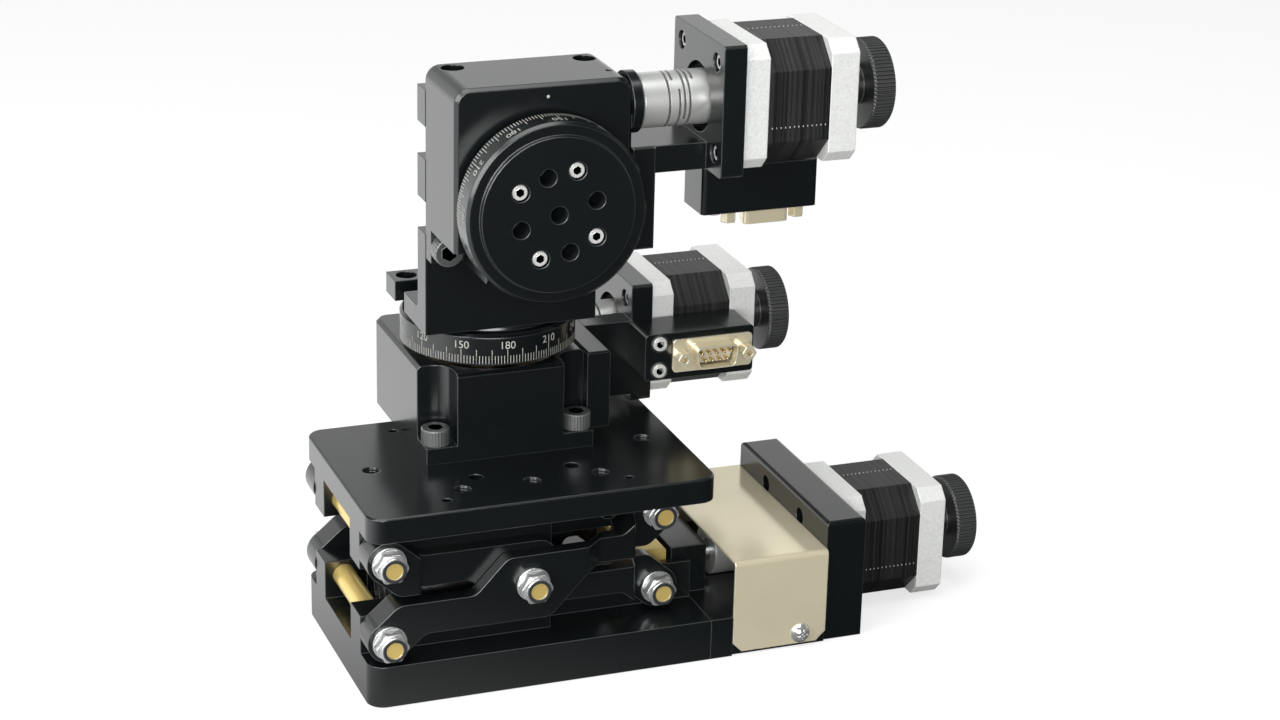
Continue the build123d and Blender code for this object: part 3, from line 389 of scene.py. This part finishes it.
# ------------------------------------------------------------------ stack weld spots
# The sheets of each stack are held by a row of small weld spots near one edge of the front
# and the top face.
weld_count = 13
weld_pitch = 0.0016
weld_size = (0.00022, 0.00030, 0.00042)
stack_start = 0.0088
stack_half = 0.02115
weld_margin = 0.0015
weld_faces = ((0.0, -0.0070), (-90.0, 0.0020))
weld_rows = {"lift": ("base", (0.1207068, 0.0, 0.0227)),
             "lower": ("platform", (0.065, 0.05435, 0.0931)),
             "upper": ("azimuth_table", (0.065, -0.0247, 0.2016))}
spot_finish = metal_finish("weld_spot", (0.34, 0.34, 0.34), (0.52, 0.52, 0.52), (0.6, 0.6, 0.6),
                           0.3, 0.45, 0.4, 300.0, 3000.0, 0.3)
for motor, (body, start) in weld_rows.items():
    bm = bmesh.new()
    for turned, offset in weld_faces:
        face_turn = Matrix.Rotation(math.radians(turned), 4, "X")
        for index in range(weld_count):
            spot = bmesh.ops.create_icosphere(bm, subdivisions=1, radius=1.0)["verts"]
            x = stack_start + weld_margin + index * weld_pitch
            bmesh.ops.scale(bm, verts=spot, vec=weld_size)
            bmesh.ops.translate(bm, verts=spot, vec=(x, -stack_half, offset))
            bmesh.ops.transform(bm, verts=spot, matrix=Matrix.Translation(start) @ face_turn)
    weld_mesh = bpy.data.meshes.new(f"{motor}_stack_welds")
    bm.to_mesh(weld_mesh)
    bm.free()
    welds = bpy.data.objects.new(f"{motor}_stack_welds", weld_mesh)
    scene.collection.objects.link(welds)
    weld_mesh.materials.append(spot_finish)
    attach(welds, body)

# ------------------------------------------------------------------ brass shafts and carriage
# Turned brass pivot shafts, whose threaded ends stand in the nuts, and the milled brass block
# on the lead screw.
brass = metal_finish("turned_brass", (0.84, 0.60, 0.16), (0.95, 0.74, 0.28), (0.98, 0.84, 0.45),
                     0.20, 0.30, 0.55, 150.0, 2200.0, 0.06)
for node in ("lower_pivot_shaft", "upper_pivot_shaft", "centre_shaft", "slider_shaft", "carriage"):
    coat_node(node, brass)

# ------------------------------------------------------------------ worm wheels
# Hobbed bronze wheels inside the housings, seen only through the gap round the dial's neck.
# Each is pressed on its dial's spindle.
bronze = metal_finish("hobbed_bronze", (0.45, 0.28, 0.13), (0.60, 0.40, 0.20), (0.7, 0.5, 0.3),
                      0.3, 0.4, 1.0, 120.0, 1500.0, 0.3)
for stage in ("lower", "upper"):
    coat_node(f"{stage}_worm_wheel", bronze)

# ------------------------------------------------------------------ pivot nuts and cover screws
# Stainless lock nuts and washers on the pivot shafts, and the pan head screws of the cover.
# All are turned or cold formed and left bright.
stainless = metal_finish("bright_stainless", (0.64, 0.65, 0.64), (0.82, 0.83, 0.82),
                         (0.92, 0.92, 0.92), 0.14, 0.22, 0.75, 200.0, 2600.0, 0.05)
for node in ("lower_pivot_nuts", "upper_pivot_nuts", "centre_nuts", "slider_nuts", "carriage_nuts",
             "cover_screws"):
    coat_node(node, stainless)

# ------------------------------------------------------------------ nylon rings of the lock nuts
# Each lock nut has a ring of dark nylon pressed into its collar, round the brass thread,
# which it grips so that the nut stays put without being tight.
ring_in = 0.00302
ring_out = 0.0042
ring_proud = 0.00012
ring_rise = 0.0002
nut_face = 0.0068
end_seat = 0.0405
deep_seat = 0.0263
pivot_x = -0.0555
centre_x = -0.0044466
slider_x = 0.0466068
low_z = 0.0235
centre_z = 0.0381
high_z = 0.0527
nylon = metal_finish("dark_nylon", (0.012, 0.013, 0.014), (0.030, 0.031, 0.033),
                     (0.06, 0.06, 0.06), 0.45, 0.60, 0.0, 300.0, 3000.0, 0.3)
nut_rings = {"lower_pivot": ("base", pivot_x, low_z, end_seat),
             "upper_pivot": ("platform", pivot_x, high_z, end_seat),
             "centre": ("rising_arm", centre_x, centre_z, end_seat),
             "slider": ("slider", slider_x, high_z, deep_seat),
             "carriage": ("carriage", slider_x, low_z, deep_seat)}
for pivot, (body, x, z, seat) in nut_rings.items():
    bm = bmesh.new()
    for side in (-1, 1):
        known = set(bm.verts)
        crown = ring_proud * 1.5
        outline = [(ring_in, 0.0), (ring_in, ring_proud), (ring_in + ring_rise, crown),
                   (ring_out - ring_rise, crown), (ring_out, ring_proud), (ring_out, 0.0)]
        ring = [bm.verts.new((r, 0, depth)) for r, depth in outline]
        loop = [bm.edges.new((a, b)) for a, b in zip(ring, ring[1:] + ring[:1])]
        bmesh.ops.spin(bm, geom=ring + loop, cent=(0, 0, 0), axis=(0, 0, 1), dvec=(0, 0, 0),
                       angle=math.tau, steps=40, use_merge=True)
        fresh = [v for v in bm.verts if v not in known]
        out = Matrix.Translation((x, side * (seat + nut_face), z))
        bmesh.ops.transform(bm, verts=fresh,
                            matrix=out @ Matrix.Rotation(math.radians(-90 * side), 4, "X"))
    bmesh.ops.recalc_face_normals(bm, faces=bm.faces)
    ring_mesh = bpy.data.meshes.new(f"{pivot}_nylon_rings")
    bm.to_mesh(ring_mesh)
    bm.free()
    rings = bpy.data.objects.new(f"{pivot}_nylon_rings", ring_mesh)
    scene.collection.objects.link(rings)
    ring_mesh.materials.append(nylon)
    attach(rings, body)

# ------------------------------------------------------------------ socket head cap screws
# Knurled heads with a hexagon socket.  M6 screws are black oxide, the small ones are bright
# stainless; each piece below stands for all the screws of one node.
head_rim = 0.0003
knurl_cut = 0.00022
mouth_share = 1.12
socket_share = 0.55
# The oxide's lighter Edge colour paints a highlight on the rims and knurl of the heads.
oxide = metal_finish("black_oxide", (0.085, 0.088, 0.090), (0.150, 0.154, 0.156),
                     (0.42, 0.42, 0.42), 0.26, 0.36, 0.5, 150.0, 2600.0, 0.15)
small_steel = metal_finish("satin_stainless", (0.70, 0.70, 0.67), (0.86, 0.86, 0.83),
                           (0.92, 0.92, 0.90), 0.22, 0.32, 0.35, 200.0, 2600.0, 0.10)


def socket_screw(bm, place, head_r, head, shank_r, shank, socket_r, ridges):
    """Screw with its head on z = 0 of place and its shank below."""
    steps = ridges * 2
    outline = [(socket_r * mouth_share, head), (head_r - head_rim, head),
               (head_r, head - head_rim), (head_r, head_rim), (head_r - head_rim, 0.0),
               (shank_r, 0.0), (shank_r, -shank)]
    old = set(bm.verts)
    line = [bm.verts.new((r, 0, z)) for r, z in outline]
    chain = [bm.edges.new((a, b)) for a, b in zip(line, line[1:])]
    bmesh.ops.spin(bm, geom=line + chain, cent=(0, 0, 0), axis=(0, 0, 1), dvec=(0, 0, 0),
                   angle=math.tau, steps=steps, use_merge=True)
    turned = [v for v in bm.verts if v not in old]
    for v in turned:
        if v.co.xy.length > head_r - head_rim / 2:
            if round(math.atan2(v.co.y, v.co.x) / math.tau * steps) % 2:
                v.co.xy *= 1 - knurl_cut / head_r
    mouth = [e for e in bm.edges if e.is_boundary and e.verts[0] not in old
             and e.verts[0].co.xy.length < socket_r * 1.2 and e.verts[0].co.z > head / 2]
    foot = [e for e in bm.edges if e.is_boundary and e.verts[0] not in old
            and e.verts[0].co.z < head / 4]
    bmesh.ops.holes_fill(bm, edges=foot, sides=0)
    hexagon = bmesh.ops.create_circle(bm, cap_ends=False, segments=6, radius=socket_r)["verts"]
    bmesh.ops.translate(bm, verts=hexagon, vec=(0, 0, head))
    sides = [e for e in bm.edges if e.verts[0] in hexagon and e.verts[1] in hexagon]
    bmesh.ops.bridge_loops(bm, edges=mouth + sides)
    wall = bmesh.ops.extrude_edge_only(bm, edges=sides)["geom"]
    low = [v for v in wall if isinstance(v, bmesh.types.BMVert)]
    bmesh.ops.translate(bm, verts=low, vec=(0, 0, -head * socket_share))
    floor_edges = [e for e in wall if isinstance(e, bmesh.types.BMEdge)
                   and e.verts[0] in low and e.verts[1] in low]
    bmesh.ops.holes_fill(bm, edges=floor_edges, sides=0)
    fresh = [v for v in bm.verts if v not in old]
    bmesh.ops.transform(bm, verts=fresh, matrix=place)


def screw_piece(node, body, finish, screws):
    """One object for all the screws of a node; screws holds (place, sizes) pairs."""
    bm = bmesh.new()
    for place, sizes in screws:
        socket_screw(bm, place, *sizes)
    bmesh.ops.recalc_face_normals(bm, faces=bm.faces)
    mesh = bpy.data.meshes.new(f"{node}_turned")
    bm.to_mesh(mesh)
    bm.free()
    piece = bpy.data.objects.new(f"{node}_turned", mesh)
    scene.collection.objects.link(piece)
    mesh.materials.append(finish)
    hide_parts(node)
    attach(piece, body)


def at(x, y, z):
    """Place given in millimetres."""
    return Matrix.Translation((x * 0.001, y * 0.001, z * 0.001))


m6 = (0.0050, 0.0060, 0.00295, 0.0140, 0.0029, 30)
m6_long = (0.0050, 0.0060, 0.00295, 0.0163, 0.0029, 30)
m4 = (0.0034, 0.0040, 0.00195, 0.0120, 0.0017, 22)
m3_lift = (0.00275, 0.0030, 0.0015, 0.0105, 0.0015, 18)
m3_plate = (0.00275, 0.0030, 0.0015, 0.0085, 0.0015, 18)
m3_box = (0.00275, 0.0030, 0.0015, 0.0205, 0.0015, 18)
m3_dial = (0.00275, 0.0030, 0.0015, 0.0082, 0.0015, 18)
screw_ring_r = 15.75
bolt_ring_r = 13.5
toward_x = Matrix.Rotation(math.radians(90), 4, "Y")
toward_minus_x = Matrix.Rotation(math.radians(-90), 4, "Y")
toward_minus_y = Matrix.Rotation(math.radians(90), 4, "X")
corner = 15.5
motor_corners = [(y, z) for y in (-corner, corner) for z in (-corner, corner)]
screw_piece("lift_motor_screws", "base", small_steel,
            [(at(120.7068 - 6.0, y, 22.7 + z) @ toward_minus_x, m3_lift)
             for y, z in motor_corners])
stage_places = {"lower": (at(0, 25.15, 69.6), "platform", "azimuth_table", 45.0),
                "upper": (at(0, -1.2, 172.4) @ toward_minus_y, "azimuth_table", "tilt_table",
                          107.0)}
for stage, (stage_place, fixed_body, dial_body, dial_turn) in stage_places.items():
    feet = [(stage_place @ at(side * 26.0, -22.0, 6.0), m6) for side in (-1, 1)]
    screw_piece(f"{stage}_foot_screws", fixed_body, oxide, feet)
    small = [(stage_place @ at(61.0, 29.2 + y, 23.5 + z) @ toward_minus_x, m3_plate)
             for y, z in motor_corners]
    small += [(stage_place @ at(61.7, -7.8, z) @ toward_minus_y, m3_box) for z in (18.7, 28.9)]
    small += [(stage_place @ at(35.0, y, z) @ toward_x, m4)
              for y, z in ((-12.0, 10.0), (-12.0, 26.0), (9.0, 6.5))]
    screw_piece(f"{stage}_cap_screws", fixed_body, small_steel, small)
    ring = [math.radians(dial_turn + turn) for turn in (-40.0, 40.0, 140.0, 220.0)]
    face = [(stage_place @ at(screw_ring_r * math.cos(a), screw_ring_r * math.sin(a), 44.2),
             m3_dial) for a in ring]
    screw_piece(f"{stage}_dial_screws", dial_body, small_steel, face)
foot_ring = [math.radians(45 + 90 * turn) for turn in range(4)]
screw_piece("bracket_screws", "azimuth_table", oxide,
            [(at(bolt_ring_r * math.cos(a), 25.15 + bolt_ring_r * math.sin(a), 124.7), m6_long)
             for a in foot_ring])

# ------------------------------------------------------------------ tapped holes
# M6 threads in the open holes of the upper dial and of the platform.  Each thread starts
# just below the face and lies against the bore's wall.
thread_pitch = 0.001
thread_deep = 0.00030
thread_r = 0.00300
thread_land = 0.00004
thread_start = -0.0003
dial_face = 47.8
platform_face = 69.6
open_holes = {"upper_dial_threads": ("tilt_table", [], 11),
              "platform_threads": ("platform", [], 8)}
upper_place = stage_places["upper"][0]
open_holes["upper_dial_threads"][1].append(upper_place @ at(0, 0, dial_face))
for turn in range(4):
    a = math.radians(107.0 + 90 * turn)
    open_holes["upper_dial_threads"][1].append(
        upper_place @ at(bolt_ring_r * math.cos(a), bolt_ring_r * math.sin(a), dial_face))
for x, y in ((-25.0, -25.0), (0.0, -25.0), (25.0, -25.0), (-50.0, 0.0), (50.0, 0.0)):
    open_holes["platform_threads"][1].append(at(x, y, platform_face))
for name, (body, places, turns) in open_holes.items():
    bm = bmesh.new()
    for place in places:
        known = set(bm.verts)
        outline = [(thread_r - thread_land, thread_start)]
        for turn in range(turns):
            low = thread_start - turn * thread_pitch
            outline.append((thread_r - thread_deep, low - thread_pitch / 2))
            outline.append((thread_r - thread_land, low - thread_pitch))
        line = [bm.verts.new((r, 0, z)) for r, z in outline]
        chain = [bm.edges.new(pair) for pair in zip(line, line[1:])]
        bmesh.ops.spin(bm, geom=line + chain, cent=(0, 0, 0), axis=(0, 0, 1), dvec=(0, 0, 0),
                       angle=math.tau, steps=32, use_merge=True)
        fresh = [v for v in bm.verts if v not in known]
        faces = [f for f in bm.faces if f.verts[0] not in known]
        bmesh.ops.recalc_face_normals(bm, faces=faces)
        if sum(f.normal.dot(f.calc_center_median() * Vector((1, 1, 0))) for f in faces) > 0:
            bmesh.ops.reverse_faces(bm, faces=faces)
        bmesh.ops.transform(bm, verts=fresh, matrix=place)
    thread_mesh = bpy.data.meshes.new(name)
    bm.to_mesh(thread_mesh)
    bm.free()
    threads = bpy.data.objects.new(name, thread_mesh)
    scene.collection.objects.link(threads)
    thread_mesh.materials.append(anodised)
    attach(threads, body)

# ------------------------------------------------------------------ steel shafts and bearings
# Ground shafts of the motors and worms, the lead screw and the ball bearings round them,
# all of hardened steel left bare.
ground = metal_finish("ground_steel", (0.42, 0.42, 0.43), (0.58, 0.58, 0.60), (0.75, 0.75, 0.75),
                      0.18, 0.30, 1.0, 160.0, 3000.0, 0.2)
for node in ("screw_bearings", "lower_bearings", "upper_bearings", "lead_screw", "lift_motor_shaft",
             "lower_motor_shaft", "upper_motor_shaft", "lower_worm_shaft", "upper_worm_shaft"):
    coat_node(node, ground)

# ------------------------------------------------------------------ couplings
# Slit aluminium couplings, turned and clear anodised to a pale satin.  Each is clamped on
# the motor's shaft and on the one that it drives.
# The couplings' Edge colour is darker than the metal: painted shade along the edges, so the slits
# read as dark lines.
turned = metal_finish("turned_aluminium", (0.60, 0.61, 0.59), (0.72, 0.73, 0.71),
                      (0.16, 0.16, 0.16), 0.32, 0.42, 0.60, 140.0, 2400.0, 0.25)
for stage in ("lift", "lower", "upper"):
    coat_node(f"{stage}_coupling", turned)

# ------------------------------------------------------------------ lift cover
# Bent nickel plated sheet steel over the lift coupling, with a faint brushed grain that runs
# across the bends.
nickel = metal_finish("bright_nickel", (0.82, 0.74, 0.51), (0.94, 0.86, 0.64), (0.96, 0.93, 0.80),
                      0.17, 0.20, 0.48, 45.0, 900.0, 0.02)
cover_finish = nickel.copy()
cover_finish.name = "brushed_nickel"
tree = cover_finish.node_tree
brush_scale = (5200.0, 90.0, 90.0)
brush_where = tree.nodes.new("ShaderNodeTexCoord")
brush_map = tree.nodes.new("ShaderNodeMapping")
brush_map.inputs["Scale"].default_value = brush_scale
brush = tree.nodes.new("ShaderNodeTexNoise")
brush.inputs["Scale"].default_value = 1.0
brush.inputs["Detail"].default_value = 3.0
brush_relief = tree.nodes.new("ShaderNodeBump")
brush_relief.inputs["Strength"].default_value = 0.08
brush_relief.inputs["Distance"].default_value = grain_depth
tree.links.new(brush_where.outputs["Object"], brush_map.inputs["Vector"])
tree.links.new(brush_map.outputs["Vector"], brush.inputs["Vector"])
tree.links.new(brush.outputs["Fac"], brush_relief.inputs["Height"])
tree.links.new(tree.nodes["relief"].outputs["Normal"], brush_relief.inputs["Normal"])
tree.links.new(brush_relief.outputs["Normal"], tree.nodes["Principled BSDF"].inputs["Normal"])
coat_node("drive_cover", cover_finish)

# ------------------------------------------------------------------ connectors
# Nine pin connectors under the motors: nickel plated flange, shell and jack screws, and gold
# plated pins with rounded tips.
for stage in ("lower", "upper"):
    coat_node(f"{stage}_connector_metal", nickel)
gold = metal_finish("gold_plate", (0.70, 0.48, 0.16), (0.86, 0.64, 0.28), (0.95, 0.8, 0.5),
                    0.18, 0.28, 1.0, 300.0, 3000.0, 0.1)
pin_pitch = 2.77
pin_row = 1.42
pin_r = 0.00055
pin_length = 0.0054
pin_tip = 0.0003
connector_x = 82.0
connector_z = 23.8
pin_middle = -12.8
pins = [((index - 2) * pin_pitch, pin_row) for index in range(5)]
pins += [((index - 1.5) * pin_pitch, -pin_row) for index in range(4)]
for stage, (stage_place, fixed_body, dial_body, dial_turn) in stage_places.items():
    bm = bmesh.new()
    for x, z in pins:
        known = set(bm.verts)
        stem = bmesh.ops.create_cone(bm, cap_ends=True, segments=16, radius1=pin_r,
                                     radius2=pin_r, depth=pin_length)["verts"]
        tip = [e for e in bm.edges if e.verts[0] in stem and e.verts[1] in stem
               and min(e.verts[0].co.z, e.verts[1].co.z) > pin_length / 2 - 0.0001]
        bmesh.ops.bevel(bm, geom=tip, offset=pin_tip, offset_type="OFFSET", segments=3,
                        profile=0.5, affect="EDGES", material=-1)
        fresh = [v for v in bm.verts if v not in known]
        spot = stage_place @ at(connector_x + x, pin_middle, connector_z + z) @ toward_minus_y
        bmesh.ops.transform(bm, verts=fresh, matrix=spot)
    pin_mesh = bpy.data.meshes.new(f"{stage}_connector_pins")
    bm.to_mesh(pin_mesh)
    bm.free()
    pin_set = bpy.data.objects.new(f"{stage}_connector_pins", pin_mesh)
    scene.collection.objects.link(pin_set)
    pin_mesh.materials.append(gold)
    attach(pin_set, fixed_body)

# ------------------------------------------------------------------ connector inserts
# Pale moulded face inside each connector's shell, round the pins.  The real one is filled
# plastic in one piece, held by the shell.
insert_finish = metal_finish("pale_moulding", (0.50, 0.46, 0.36), (0.62, 0.58, 0.47),
                             (0.7, 0.66, 0.55), 0.40, 0.50, 0.0, 300.0, 2500.0, 0.1)
insert_thick = 0.00022
insert_corner = 0.0012
insert_seat = -11.6
insert_high = 3.1
insert_wide = 7.3
insert_low_wide = 6.2
for stage, (stage_place, fixed_body, dial_body, dial_turn) in stage_places.items():
    bm = bmesh.new()
    corners = [bm.verts.new((x * 0.001, 0.0, z * 0.001)) for x, z in
               ((-insert_wide, insert_high), (insert_wide, insert_high),
                (insert_low_wide, -insert_high), (-insert_low_wide, -insert_high))]
    face = bm.faces.new(corners)
    raised = bmesh.ops.extrude_face_region(bm, geom=[face])["geom"]
    lifted = [v for v in raised if isinstance(v, bmesh.types.BMVert)]
    bmesh.ops.translate(bm, verts=lifted, vec=(0, -insert_thick, 0))
    uprights = [e for e in bm.edges if abs(e.verts[0].co.y - e.verts[1].co.y) > 0.0001]
    bmesh.ops.bevel(bm, geom=uprights, offset=insert_corner, offset_type="OFFSET", segments=4,
                    profile=0.5, affect="EDGES", material=-1)
    bmesh.ops.recalc_face_normals(bm, faces=bm.faces)
    insert_place = stage_place @ at(connector_x, insert_seat, connector_z)
    bmesh.ops.transform(bm, verts=bm.verts, matrix=insert_place)
    insert_mesh = bpy.data.meshes.new(f"{stage}_connector_insert")
    bm.to_mesh(insert_mesh)
    bm.free()
    insert = bpy.data.objects.new(f"{stage}_connector_insert", insert_mesh)
    scene.collection.objects.link(insert)
    insert_mesh.materials.append(insert_finish)
    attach(insert, fixed_body)

# ------------------------------------------------------------------ knobs
# Turned black knobs on the rear shafts, for moving an axis by hand: a straight knurled rim, a
# plain hub towards the motor and a dished outer face.
knob_ridges = 72
knob_r = 0.0156
knob_ridge_from = 0.0154
knob_ridge_depth = 0.0005
knob_outline = [(54.8, 0.0), (54.8, 2.55), (42.5, 2.55), (42.5, 6.6), (42.9, 7.0), (50.0, 7.0),
                (50.0, 14.9), (50.7, 15.6), (57.3, 15.6), (58.0, 14.9), (58.0, 11.8), (57.6, 11.6),
                (56.5, 11.6), (56.5, 0.0)]
knob_places = {"lift": (at(120.7068, 0, 22.7), "lift_screw"),
               "lower": (at(65.0, 54.35, 93.1), "azimuth_worm"),
               "upper": (at(65.0, -24.7, 201.6), "tilt_worm")}
# The knob's lighter Edge colour paints a highlight along the knurl ridges and rims.
knob_black = metal_finish("turned_black_knob", (0.010, 0.011, 0.011), (0.020, 0.021, 0.022),
                          (0.13, 0.132, 0.134), 0.28, 0.40, 0.0, 90.0, 2600.0, 0.25)
knob_shader = knob_black.node_tree.nodes["Principled BSDF"]
knob_shader.inputs["Specular IOR Level"].default_value = black_gloss
for motor, (place, body) in knob_places.items():
    bm = bmesh.new()
    line = [bm.verts.new((x * 0.001, 0, r * 0.001)) for x, r in knob_outline]
    chain = [bm.edges.new((a, b)) for a, b in zip(line, line[1:])]
    bmesh.ops.spin(bm, geom=line + chain, cent=(0, 0, 0), axis=(1, 0, 0), dvec=(0, 0, 0),
                   angle=math.tau, steps=knob_ridges * 2, use_merge=True)
    bmesh.ops.remove_doubles(bm, verts=bm.verts, dist=0.000001)
    for v in bm.verts:
        if v.co.yz.length > knob_ridge_from:
            if round(math.atan2(v.co.z, v.co.y) / math.tau * knob_ridges * 2) % 2:
                v.co.yz *= 1 - knob_ridge_depth / knob_r
    bmesh.ops.recalc_face_normals(bm, faces=bm.faces)
    bmesh.ops.transform(bm, verts=bm.verts, matrix=place)
    knob_mesh = bpy.data.meshes.new(f"{motor}_knurled_knob")
    bm.to_mesh(knob_mesh)
    bm.free()
    knob = bpy.data.objects.new(f"{motor}_knurled_knob", knob_mesh)
    scene.collection.objects.link(knob)
    knob_mesh.materials.append(knob_black)
    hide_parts(f"{motor}_knob")
    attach(knob, body)

# ------------------------------------------------------------------ dial graduations
# Filled graduations on the rims of both dials: a short line every two degrees, a long one
# every ten, and a number every thirty, read with the dial's face upwards.
barrel_r = 0.0310
line_low = 0.0362
line_width = 0.00024
line_raise = 0.00003
number_low = 0.0416
number_height = 0.0027
capital_share = 0.70
short_mark = 0.0029
long_mark = 0.0051
ink = metal_finish("filled_marks", (0.36, 0.36, 0.33), (0.50, 0.50, 0.46), (0.5, 0.5, 0.46),
                   0.5, 0.6, 0.0, 300.0, 3000.0, 0.1)
mark_turn = {"lower": 85.0, "upper": -63.0}
for stage, (stage_place, fixed_body, dial_body, dial_turn) in stage_places.items():
    bm = bmesh.new()
    for step, height in ((2, short_mark), (10, long_mark)):
        mark = bmesh.ops.create_grid(bm, x_segments=1, y_segments=1, size=0.5)["verts"]
        bmesh.ops.scale(bm, verts=mark, vec=(line_width, height, 1))
        bmesh.ops.rotate(bm, verts=mark, matrix=Matrix.Rotation(math.radians(90), 3, "X"))
        bmesh.ops.rotate(bm, verts=mark, matrix=Matrix.Rotation(math.radians(90), 3, "Z"))
        bmesh.ops.translate(bm, verts=mark, vec=(barrel_r + line_raise, 0, line_low + height / 2))
        bmesh.ops.rotate(bm, verts=mark,
                         matrix=Matrix.Rotation(math.radians(mark_turn[stage]), 3, "Z"))
        patch = [f for f in bm.faces if f.verts[0] in mark]
        count = 360 // step
        bmesh.ops.spin(bm, geom=mark + patch, cent=(0, 0, 0), axis=(0, 0, 1), dvec=(0, 0, 0),
                       angle=math.tau * (count - 1) / count, steps=count - 1, use_duplicate=True)
    for degrees in range(0, 360, 30):
        letters = bpy.data.curves.new("number", "FONT")
        letters.body = str(degrees)
        letters.size = number_height / capital_share
        letters.align_x = "CENTER"
        shape = bpy.data.objects.new("number", letters)
        number = bpy.data.meshes.new_from_object(shape)
        known = set(bm.verts)
        bm.from_mesh(number)
        fresh = [v for v in bm.verts if v not in known]
        bmesh.ops.triangulate(bm, faces=[f for f in bm.faces if f.verts[0] not in known])
        for v in fresh:
            angle = math.radians(mark_turn[stage] + degrees) + v.co.x / barrel_r
            reach = barrel_r + line_raise * 2
            v.co = (reach * math.cos(angle), reach * math.sin(angle), number_low + v.co.y)
        bpy.data.objects.remove(shape)
        bpy.data.meshes.remove(number)
    bmesh.ops.transform(bm, verts=bm.verts, matrix=stage_place)
    mark_mesh = bpy.data.meshes.new(f"{stage}_graduations")
    bm.to_mesh(mark_mesh)
    bm.free()
    marks = bpy.data.objects.new(f"{stage}_graduations", mark_mesh)
    scene.collection.objects.link(marks)
    mark_mesh.materials.append(ink)
    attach(marks, dial_body)

# ------------------------------------------------------------------ index dots
# A filled dot on each housing, against which its dial is read: a drilled spot with pale
# paint wiped into it.
dot_r = 0.00055
dot_place = at(1.0, 35.6, 32.53)
for stage, (stage_place, fixed_body, dial_body, dial_turn) in stage_places.items():
    bm = bmesh.new()
    bmesh.ops.create_circle(bm, cap_ends=True, segments=24, radius=dot_r)
    bmesh.ops.transform(bm, verts=bm.verts, matrix=stage_place @ dot_place)
    dot_mesh = bpy.data.meshes.new(f"{stage}_index_dot")
    bm.to_mesh(dot_mesh)
    bm.free()
    dot = bpy.data.objects.new(f"{stage}_index_dot", dot_mesh)
    scene.collection.objects.link(dot)
    dot_mesh.materials.append(ink)
    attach(dot, fixed_body)
